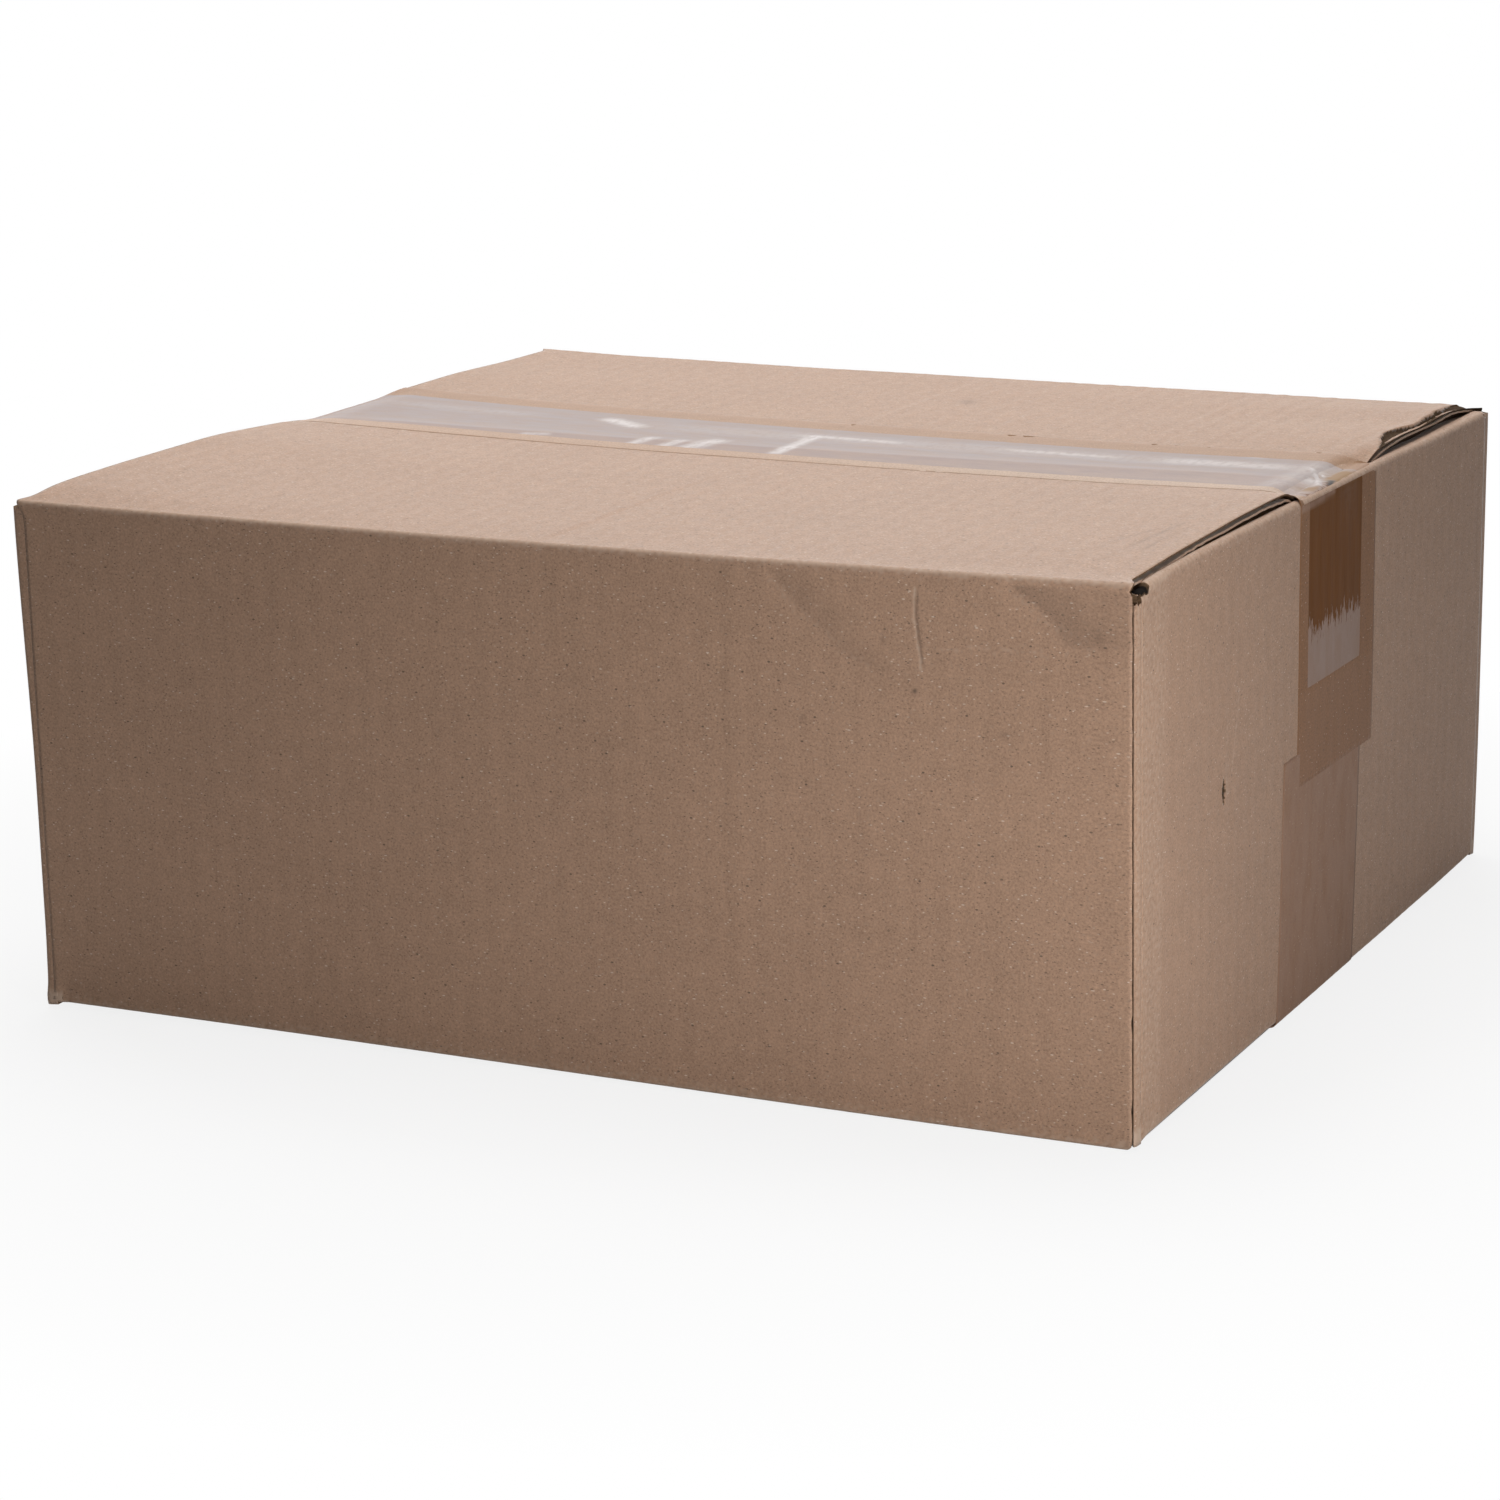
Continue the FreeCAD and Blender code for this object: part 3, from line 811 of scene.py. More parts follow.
def joint_top(share):
    """The tab's upper end, cut at a slant behind the front panel."""
    return 148.2 + 0.7 * waves(share * 40, 0, 3.0, 33) - 11 * ease(0.0, 0.3, 0.3 - share)


def joint_low(share):
    """The tab's lower end, cut at the same slant."""
    return 1.0 + 11 * ease(0.0, 0.3, 0.3 - share)


def build_medium(materials):
    """The crushed edges of the fluted sheet inside the long flaps, seen in their cut sides.

    Each is a thin ragged strip that wanders up and down between the two facings.
    """
    width, thickness, middle_depth = 2.9, 0.5, 1.5
    for index, (side, low, high) in enumerate(((1, -158, -2), (1, 2, 158), (-1, -158, -2), (-1, 2, 158))):
        share, y = np.meshgrid(np.linspace(0, 1, 5), np.linspace(high, low, 180))
        ragged = 0.35 * waves(y, 0, 9.0, 50 + index) + 0.2 * waves(y, 0, 2.5, 60 + index)
        reach = FLAP_END + 0.25 + 0.6 * ragged
        x = reach - width * (1 - share) if side > 0 else -reach + width * share
        middle = flap_height(side * FLAP_END, y) - pressed_end(side * FLAP_END, y) - middle_depth
        z = middle + 0.55 * waves(y, 0, 38.0, 70 + index) + 0.25 * waves(y, 0, 8.0, 80 + index)
        outer = np.stack([x, y, z], -1)
        inner = outer - np.array([0, 0, thickness])
        uv = np.stack([x, y], -1) * MM
        closed_sheet(f"board_fluting_{index + 1}", outer, inner, uv, [materials[0]] * 2,
                     {"wear": share, "bare": share * 0})


# The clear tapes

WIDE_HALF = 35.8
NARROW_HALF = 24.7
NARROW_LOW = 96.2                   # height of the narrow tape's lower end on the right
TURN_START = FLAP_END - 0.6         # where the tape leaves the top
TURN_LENGTH = 6.5                   # its way round the end crease
UNDER_CREASE = 3.0                  # how far below the crease it meets the end panel
RIGHT_CREST = 152.2                 # usual height of the right end's crease under the tape
FILM_EDGE = 0.03                    # how far the film's long edges stand off the board


def wide_line(run):
    """Where the middle of the upper tapes runs: a little slanted over the seam and down the ends."""
    return 16.3 - 0.0454 * np.clip(run, -END, END) - 0.033 * (run - np.clip(run, -END, END))


def narrow_line(run):
    """Middle of the narrow tape, which lies under the wide one."""
    return wide_line(run) - 1.2 - 1.6 * ease(-END, END, run)


def film_over_top(run, y, lift):
    """Points of a strip of film that lies over the top and down both ends.

    run is 0 in the box's middle. The film lies on the flaps as far as their cut ends, goes round
    the crease on a rounded quarter turn, and then down the end panel.
    """
    side = np.where(run < 0, -1.0, 1.0)
    far = np.abs(run)
    on_top = np.minimum(far, TURN_START)
    height = flap_height(side * on_top, y) - pressed_end(side * on_top, y)
    crest = np.where(run < 0, end_crease(-1, y), end_crease(1, y))
    start = np.maximum(flap_height(side * TURN_START, y) - pressed_end(side * TURN_START, y), crest + 0.1)
    height = height + np.maximum(start - height, 0) * ease(TURN_START - 9, TURN_START, far)
    angle = np.clip((far - TURN_START) / TURN_LENGTH, 0, 1) * math.pi / 2
    below = crest - UNDER_CREASE
    down = np.maximum(far - TURN_START - TURN_LENGTH, 0)
    z = np.where(far < TURN_START, height, below + (start - below) * np.abs(np.cos(angle)) ** (2 / 3))
    z = z - down
    wall = np.where(run < 0, left_bulge(y, z), right_bulge(y, z)) + END
    x = np.where(far < TURN_START, on_top, TURN_START + (wall - TURN_START) * np.sin(angle) ** (2 / 3))
    x = x + lift * np.where(far < TURN_START, 0, np.sin(angle))
    return np.stack([side * x, y, z + lift * np.cos(angle) * (down == 0)], -1)


def run_at(height):
    """Running length at which the upper tapes reach a height on the right end panel."""
    return TURN_START + TURN_LENGTH + (RIGHT_CREST - UNDER_CREASE) - height


def film_runs(left_end, right_end):
    """Lines across a strip over the top: close together round the creases and on the right end."""
    turn = TURN_LENGTH * np.linspace(0, 1, 12)
    parts = [-run_at(left_end) + np.arange(0, run_at(left_end) - TURN_START - TURN_LENGTH, 2.4),
             -TURN_START - turn[::-1], spaced(-TURN_START + 1.2, -94, 2.4), spaced(-93, 36, 1.0),
             spaced(38, 120, 2.4), spaced(121.5, TURN_START - 1.0, 1.3),
             TURN_START + turn, spaced(TURN_START + TURN_LENGTH + 1.2, run_at(right_end), 1.3)]
    return np.unique(np.concatenate(parts).round(4))


def film_fields(run, y, z):
    """What the film's finish needs, as fields in millimetres.

    second is how far inside the narrow tape's outline a point is, wet how far inside the part
    where the glue has wetted the board, and seam how far behind the flaps' seam. The others are
    shares: upper on the top, streak for painted white reflections, pale for a painted highlight
    along the right end's crease and a paler low end, tan where glue has gathered round the right
    end's crease, and gap for a painted line of shade, as of an opening in the film, over the crease.
    """
    aside = NARROW_HALF - np.abs(y - narrow_line(run))
    second = np.minimum(aside, run_at(NARROW_LOW) - np.abs(run))
    on_end = np.minimum(z - 112.5, 30.0)
    hole = bell(y, 6.0, 1.6) * bell(run, TURN_START + 1.8, 1.0)
    on_top = run - TURN_START - 2.5 + 30.0 * hole
    wet = np.where(run < 0, -30.0, np.where(run > TURN_START + 3.0, on_end, on_top))
    upper = 1 - ease(TURN_START - 1, TURN_START + 3.5, np.abs(run))
    streaks = sum(crease_line(run, y, *mark) for mark in TOP_MARKS + WRINKLES)
    # painted highlight: a pale band where the film turns over the right end's crease
    pale = np.exp(-((z - 149.9 - 0.02 * (y + 25)) / 1.0) ** 4) * ease(-27.5, -25.5, y) * (1 - ease(3, 6, y))
    low_end = 0.12 * (1 - ease(93, 97, z))
    gold = np.exp(-((y - 18.0) / 9.5) ** 4 - ((run - TURN_START - 1.2) / 3.4) ** 4)
    blob = np.exp(-((y + 7.5) / 4.5) ** 4 - ((run - TURN_START + 0.6) / 2.0) ** 4)
    # painted shade: a near-black line as of an opening under the film over the crease
    gap = crease_line(run, y, (TURN_START + 0.7, 10.5), (TURN_START + 2.5, 1.0), 1.1, 1.0, 4)
    pale = 0.6 * pale * (1 - upper) + low_end
    tan = np.clip(1.5 * gold + blob, 0, 1.4)
    return {"second": second, "wet": wet, "seam": y, "upper": upper, "streak": np.clip(streaks, 0, 1),
            "pale": pale * (run > 0), "tan": tan * (run > 0), "gap": gap}


# Wrinkles of the wide tape round the right end's crease, in the same terms as the marks below; their white
# is a painted highlight
WRINKLES = (
    ((162.0, 20.0), (168.4, 9.0), 0.7, 0.8),
    ((167.2, 11.5), (173.2, -6.5), 0.8, 0.9),
    ((167.2, 16.2), (169.2, 13.6), 0.9, 1.0),
)
# Painted reflections on the film over the top, white where wrinkles and air pockets catch the light,
# and one band that lightens the pressed dip by the right end: start and end in the box's x and y,
# half width, strength and sharpness of the edge
TOP_MARKS = (
    ((-83.0, 34.0), (-61.0, 21.0), 3.4, 0.85, 3),
    ((-51.2, -13.5), (-48.9, 7.0), 2.4, 0.75, 3),
    ((-40.5, -14.0), (-37.5, 5.0), 2.4, 0.75, 3),
    ((-31.4, -13.0), (-26.7, 10.5), 4.0, 0.8, 3),
    ((-0.4, -11.5), (-0.4, 4.0), 2.4, 0.9, 3),
    ((-0.2, -4.0), (-2.9, 29.0), 2.4, 0.85, 3),
    ((-10.0, 26.0), (31.0, 23.2), 2.2, 0.55, 3),
    ((-93.0, -5.2), (-82.0, -2.2), 2.0, 0.5, 3),
    ((-168.0, 34.0), (-100.0, 30.0), 5.0, 0.14, 2),
    ((163.5, -24.0), (167.0, 38.0), 6.0, 0.3, 4),
    ((-84.0, 27.0), (190.0, 17.0), 7.5, 0.18, 4),
    ((60.0, 22.5), (104.0, 20.5), 2.2, 0.45, 3),
    ((112.0, 19.8), (162.0, 17.6), 4.5, 0.45, 3),
    ((139.0, 31.0), (155.0, 36.0), 1.2, 0.5, 3),
)


def film_strip(name, node_name, runs, half, line, lift, materials, end_wave):
    """A strip of clear film over the top seam as a closed thin sheet, cut in a wavy line at its ends."""
    aside, run = np.meshgrid(np.linspace(-half, half, 61), runs)
    run = run + end_wave * cut_waves(aside, run, runs[-1], -runs[0])
    y = line(run) + aside
    lies = 1 - ease(half - 4.0, half, np.abs(aside))
    wrinkle = 0.0
    if node_name == "top_tape_wide":
        wrinkle = sum(crease_line(run, y, start, end, 0.7, 0.55) for start, end, *_ in WRINKLES)
    outer = film_over_top(run, y, FILM_EDGE + (lift - FILM_EDGE) * lies + wrinkle)
    inner = film_over_top(run, y, 0.0)
    uv = np.stack([aside, run], -1) * MM
    fields = film_fields(run, y, outer[..., 2])
    closed_sheet(name, outer, inner, uv, materials, fields, stand=(node_name, "tape"))


def cut_waves(aside, run, right_end, left_end):
    """Small waves of a tape's saw-cut ends, within 6 mm of each."""
    last = ease(right_end - 6, right_end, run) - ease(left_end - 6, left_end, -run)
    return last * np.sin(aside * 2 * math.pi / 3.1)


LOWER_FOLD = 1.8                    # radius of the bottom tape's turn
LOWER_START = END - LOWER_FOLD      # where it starts
LOWER_TURN = 2.9                    # its way round
LOWER_HALF = 36.0
LOWER_REACH = 76.5                  # how far up the ends it runs


def bottom_line(run):
    """Where the middle of the bottom tape runs; run is 0 in the middle under the box."""
    return -17.5 + 0.0471 * run


def film_under_box(run, y, lift):
    """Points of the strip under the box: along the bottom seam and up both ends, round a small fold."""
    side = np.where(run < 0, -1.0, 1.0)
    far = np.abs(run)
    angle = np.clip((far - LOWER_START) / LOWER_TURN, 0, 1) * math.pi / 2
    up = np.maximum(far - LOWER_START - LOWER_TURN, 0)
    z = FLOOR_FACE * 0.9 - lift * np.cos(angle) * 0.5 + LOWER_FOLD * (1 - np.cos(angle)) + up
    wall = np.where(run < 0, left_bulge(y, z), right_bulge(y, z)) + END + lift
    x = np.where(far < LOWER_START, far, LOWER_START + (wall - LOWER_START) * np.sin(angle))
    return np.stack([side * x, y, z], -1)


def bottom_strip(materials):
    """The strip of film under the box, closed like the others and turned to face outward."""
    last = LOWER_START + LOWER_TURN + LOWER_REACH
    turn = LOWER_START + np.linspace(0, LOWER_TURN, 6)
    parts = [spaced(-last, -END, 3.0), spaced(-END, END, 6.0), turn, spaced(END + 1.5, last, 1.3)]
    runs = np.unique(np.concatenate(parts).round(4))
    aside, run = np.meshgrid(np.linspace(-LOWER_HALF, LOWER_HALF, 49), runs[::-1])
    run = run + 0.3 * cut_waves(aside, run, last, last)
    y = bottom_line(run) + aside
    uv = np.stack([aside, run], -1) * MM
    zero = np.zeros(run.shape)
    fields = {name: zero - 50.0 for name in ("second", "wet", "seam")}
    fields.update({name: zero for name in ("upper", "streak", "tan", "gap")})
    fields["pale"] = zero + 0.5
    closed_sheet("tape_bottom", film_under_box(run, y, 0.08), film_under_box(run, y, 0.02), uv, materials,
                 fields, stand=("bottom_tape", "tape"))


def build_tapes(material):
    """The narrow tape, the wide one over it, and the one under the box."""
    materials = [material] * 2
    film_strip("tape_top_narrow", "top_tape_narrow", film_runs(98, NARROW_LOW), NARROW_HALF, narrow_line,
               0.05, materials, 0.25)
    film_strip("tape_top_wide", "top_tape_wide", film_runs(70, 68.0), WIDE_HALF, wide_line,
               0.1, materials, 0.3)
    bottom_strip(materials)


# Materials

PAPER = (0.375, 0.234, 0.157, 1)
DARK_FIBRE = (0.11, 0.075, 0.055, 1)
LIGHT_FIBRE = (0.72, 0.60, 0.50, 1)
# scuffed paper, and also the painted highlights on folds and beside the glued joint
RUBBED_AND_HIGHLIGHT = (0.50, 0.36, 0.27, 1)
# real stains, and also the painted shade past the front's dents and beside its crack
STAIN_AND_SHADE = (0.13, 0.085, 0.062, 1)
CUT = (0.14, 0.085, 0.049, 1)
# the exposed fluting's own dark brown, with painted shade of its flute valleys
TORN_AND_SHADE = (0.050, 0.031, 0.018, 1)
# painted shade: the near black inside the hole and the open corner
HOLE_SHADE = (0.008, 0.006, 0.005, 1)
FILM_PRESSED = (0.265, 0.138, 0.074, 1)  # one layer, pressed on hard down the ends
# painted sheen: the single layer on the top is lightened above the paper's own colour, more towards the
# right end
FILM_LOOSE_AND_SHEEN = (0.405, 0.265, 0.18, 1)     # one layer on the top in front of the seam
FILM_CLEAR_AND_SHEEN = (0.44, 0.31, 0.225, 1)      # the same towards the right end
FILM_LOOSE_BACK = (0.33, 0.195, 0.117, 1)
FILM_WET = (0.132, 0.042, 0.001, 1)      # two layers, with glue in the board
FILM_HAZE = (0.34, 0.245, 0.205, 1)      # two layers with air under them, on the ends
FILM_HAZE_TOP = (0.30, 0.225, 0.205, 1)  # the same on the top, in front of the seam
FILM_BACK_TOP = (0.305, 0.25, 0.24, 1)   # and behind it
# painted white reflections of the film's wrinkles and air pockets
FILM_WHITE = (0.58, 0.53, 0.515, 1)
# paler film, also used as the painted highlight along the right end's crease
FILM_PALE = (0.40, 0.27, 0.21, 1)
FILM_TAN = (0.24, 0.128, 0.042, 1)
FILM_GAP_SHADE = (0.02, 0.013, 0.01, 1)


def node(tree, kind, inputs=None, **settings):
    """Add a shader node, set its properties, and set or link its inputs by name or number."""
    made = tree.nodes.new(kind)
    for key, value in settings.items():
        setattr(made, key, value)
    for key, value in (inputs or {}).items():
        socket = made.inputs[key]
        if isinstance(value, bpy.types.NodeSocket):
            tree.links.new(value, socket)
        else:
            socket.default_value = value
    return made


def calc(tree, operation, first, second=0.0, third=None, clamp=False):
    """One step of arithmetic on values that change over the surface."""
    inputs = {0: first, 1: second}
    if third is not None:
        inputs[2] = third
    return node(tree, "ShaderNodeMath", inputs, operation=operation, use_clamp=clamp).outputs[0]


def times(tree, first, second, clamp=False):
    """The product of two values."""
    return calc(tree, "MULTIPLY", first, second, clamp=clamp)


def most(tree, first, second):
    """The larger of two values."""
    return calc(tree, "MAXIMUM", first, second)


def vary(tree, pattern, amount, base):
    """The base, raised and lowered by an amount with a pattern that lies around a half."""
    return calc(tree, "MULTIPLY_ADD", calc(tree, "SUBTRACT", pattern, 0.5), amount, base)


def scaled(tree, vector, along, across, turn=0.0, shift=0.0):
    """A place on the sheet, stretched both ways, turned and moved."""
    inputs = {"Vector": vector, "Location": (shift, shift * 1.7, 0), "Rotation": (0, 0, turn),
              "Scale": (along, across, 1.0)}
    return node(tree, "ShaderNodeMapping", inputs).outputs[0]


def noise(tree, vector, scale, detail=2.0, rough=0.5):
    """Cloudy noise between 0 and 1 on the flat sheet."""
    return node(tree, "ShaderNodeTexNoise", {"Vector": vector, "Scale": scale, "Detail": detail,
                                             "Roughness": rough}, noise_dimensions="2D").outputs[0]


def remap(tree, value, low, high, new_low=0.0, new_high=1.0):
    """A value carried from one range to another, and held at its ends."""
    return node(tree, "ShaderNodeMapRange", {0: value, 1: low, 2: high, 3: new_low, 4: new_high},
                clamp=True).outputs[0]


def blend(tree, share, first, second):
    """The first colour, replaced by the second by a share."""
    return node(tree, "ShaderNodeMix", {0: share, 6: first, 7: second}, data_type="RGBA").outputs[2]


def shaded(tree, colour, shade):
    """A colour times a value."""
    return node(tree, "ShaderNodeVectorMath", {0: colour, "Scale": shade}, operation="SCALE").outputs[0]


def group(name, inputs, outputs):
    """An empty shader node group with named inputs and outputs."""
    tree = bpy.data.node_groups.new(name, "ShaderNodeTree")
    for label, kind, value in inputs:
        socket = tree.interface.new_socket(label, in_out="INPUT", socket_type=kind)
        if value is not None:
            socket.default_value = value
    for label, kind in outputs:
        tree.interface.new_socket(label, in_out="OUTPUT", socket_type=kind)
    return tree, tree.nodes.new("NodeGroupInput").outputs, tree.nodes.new("NodeGroupOutput").inputs


def fleck_group():
    """Sparse short fibres: the middles of a cell pattern, kept where the cell's random number is low."""
    tree, given, out = group("fibre_flecks", [
        ("Vector", "NodeSocketVector", None), ("Density", "NodeSocketFloat", 200.0),
        ("Size", "NodeSocketFloat", 0.1), ("Share", "NodeSocketFloat", 0.3),
    ], [("Mask", "NodeSocketFloat")])
    cells = node(tree, "ShaderNodeTexVoronoi", {"Vector": given["Vector"], "Scale": given["Density"]},
                 voronoi_dimensions="2D", feature="F1").outputs
    spot = remap(tree, cells["Distance"], given["Size"], times(tree, given["Size"], 1.7), 1.0, 0.0)
    luck = node(tree, "ShaderNodeSeparateColor", {0: cells["Color"]}).outputs
    chosen = calc(tree, "LESS_THAN", luck[0], given["Share"])
    strength = times(tree, chosen, calc(tree, "ADD", luck[1], 0.25))
    tree.links.new(times(tree, spot, strength, clamp=True), out["Mask"])
    return tree


def kraft_group(flecks):
    """Unbleached recycled paper: cloudy tone, fine grain, faint painted light and shade along the flutes,
    and dark and light fibres.
    """
    tree, given, out = group("kraft_paper", [
        ("Vector", "NodeSocketVector", None), ("Paper", "NodeSocketColor", PAPER),
        ("Grain", "NodeSocketFloat", 1.0), ("Flecks", "NodeSocketFloat", 1.0),
        ("Bands", "NodeSocketFloat", 1.0),
    ], [("Color", "NodeSocketColor"), ("Height", "NodeSocketFloat")])
    place = given["Vector"]
    fine = noise(tree, place, 1400.0, 3.0, 0.7)
    fibre = noise(tree, scaled(tree, place, 700.0, 1100.0), 1.0, 3.0, 0.6)
    cloud = noise(tree, place, 170.0, 3.0, 0.55)
    broad = noise(tree, place, 24.0, 2.0, 0.5)
    tone = 1.0
    for pattern, amount in ((fine, 0.95), (fibre, 0.26), (cloud, 0.20), (broad, 0.10)):
        tone = vary(tree, pattern, amount, tone)
    grain = calc(tree, "MULTIPLY_ADD", calc(tree, "SUBTRACT", tone, 1.0), given["Grain"], 1.0)
    along = node(tree, "ShaderNodeSeparateXYZ", {0: place}).outputs[0]
    wander = vary(tree, noise(tree, place, 30.0, 1.0), 0.5, 0.0)
    flute = calc(tree, "COSINE", calc(tree, "MULTIPLY_ADD", along, 2 * math.pi / (FLUTE * MM), wander))
    # painted light and shade: a faint tone band along each flute, as the washboard catches the light
    banded = calc(tree, "MULTIPLY_ADD", times(tree, flute, given["Bands"]), 0.014, grain)
    colour = shaded(tree, given["Paper"], banded)

    def fibres(density, size, share, stretch, turn, shift):
        """One kind of fibre, lying its own way."""
        inputs = {"Vector": scaled(tree, place, 1.0, stretch, turn, shift),
                  "Density": density, "Size": size, "Share": share}
        used = node(tree, "ShaderNodeGroup", inputs, node_tree=flecks)
        return times(tree, used.outputs[0], given["Flecks"], clamp=True)

    dark = most(tree, fibres(190.0, 0.042, 0.5, 2.2, 0.5, 0.1), fibres(120.0, 0.035, 0.35, 1.6, 2.1, 0.37))
    small = most(tree, fibres(400.0, 0.09, 0.2, 1.5, 1.2, 0.9), fibres(900.0, 0.14, 0.2, 1.3, 2.6, 0.6))
    light = most(tree, fibres(150.0, 0.05, 0.14, 2.8, 1.1, 0.7), fibres(420.0, 0.09, 0.14, 2.0, 2.7, 0.2))
    dark = most(tree, times(tree, dark, 0.85), times(tree, small, 0.5))
    colour = blend(tree, dark, colour, DARK_FIBRE)
    colour = blend(tree, times(tree, light, 0.6), colour, LIGHT_FIBRE)
    tree.links.new(colour, out["Color"])
    tree.links.new(calc(tree, "MULTIPLY_ADD", fibre, 0.6, times(tree, fine, 0.5)), out["Height"])
    return tree


def new_material(name, rough, gloss):
    """A plain material, its node tree and its shader, with an even roughness and specular level."""
    material = bpy.data.materials.new(name)
    material.use_nodes = True
    tree = material.node_tree
    shader = tree.nodes["Principled BSDF"]
    shader.inputs["Roughness"].default_value = rough
    shader.inputs["Specular IOR Level"].default_value = gloss
    return material, tree, shader


def on_sheet(tree):
    """Place on the flat sheet, in metres: along the crease, and the way round the section."""
    return node(tree, "ShaderNodeUVMap", uv_map="sheet").outputs[0]


def paper_on(tree, kraft, colour, grain=1.0, flecks=1.0, bands=1.0):
    """The paper's outputs, Color and Height, on the sheet."""
    inputs = {"Vector": on_sheet(tree), "Paper": colour, "Grain": grain, "Flecks": flecks, "Bands": bands}
    return node(tree, "ShaderNodeGroup", inputs, node_tree=kraft).outputs


def bump(tree, shader, height, strength, distance):
    """Fine relief, for the grain alone."""
    made = node(tree, "ShaderNodeBump", {"Strength": strength, "Distance": distance, "Height": height})
    tree.links.new(made.outputs[0], shader.inputs["Normal"])


def mask(tree, name):
    """A value that the mesh carries at its points."""
    return node(tree, "ShaderNodeAttribute", attribute_name=name).outputs["Fac"]


def board_material(kraft):
    """The facing: scuffed pale on its creases, painted highlight and shade on some folds and dents,
    stained, and dark brown where torn.
    """
    material, tree, shader = new_material("kraft_facing", 0.62, 0.25)
    place = on_sheet(tree)
    paper = paper_on(tree, kraft, PAPER)
    bitten = remap(tree, noise(tree, place, 700.0, 3.0), 0.3, 0.7, 0.0, 0.9)
    ragged = calc(tree, "SUBTRACT", mask(tree, "wear"), bitten)
    rubbed_and_highlight = remap(tree, ragged, -0.2, 0.5, 0.0, 0.55)
    worn_and_highlight = calc(tree, "ADD", rubbed_and_highlight, remap(tree, ragged, 0.6, 1.2, 0.0, 0.45))
    # lightened by real scuffing and by painted highlights on folds and beside the glued joint
    colour = blend(tree, worn_and_highlight, paper["Color"], RUBBED_AND_HIGHLIGHT)
    # dim paints real stains and scratches, and painted shade past the front's dents and crack
    colour = blend(tree, mask(tree, "dim"), colour, STAIN_AND_SHADE)
    colour = blend(tree, remap(tree, mask(tree, "bare"), 0.2, 0.6), colour, TORN_AND_SHADE)
    tree.links.new(colour, shader.inputs["Base Color"])
    tree.links.new(remap(tree, noise(tree, place, 400.0), 0.3, 0.7, 0.58, 0.72), shader.inputs["Roughness"])
    shader.inputs["Sheen Weight"].default_value = 0.25
    shader.inputs["Sheen Roughness"].default_value = 0.3
    bump(tree, shader, paper["Height"], 0.35, 0.00008)
    return material


def edge_material(kraft):
    """Board cut or torn open: brown at cut sides, darker with painted shade where the facing is gone,
    painted black in the hole.
    """
    material, tree, shader = new_material("kraft_cut_edge", 0.9, 0.05)
    paper = paper_on(tree, kraft, CUT, 1.6, 0.3, 0.0)
    torn = remap(tree, mask(tree, "bare"), 0.2, 0.6)
    patchy = remap(tree, noise(tree, on_sheet(tree), 900.0, 3.0), 0.35, 0.6, 1.0, 0.7)
    colour = blend(tree, times(tree, torn, patchy), paper["Color"], TORN_AND_SHADE)
    # painted shade: near black where bare passes 1.1
    colour = blend(tree, remap(tree, mask(tree, "bare"), 1.1, 1.6), colour, HOLE_SHADE)
    tree.links.new(colour, shader.inputs["Base Color"])
    bump(tree, shader, paper["Height"], 0.6, 0.0002)
    return material


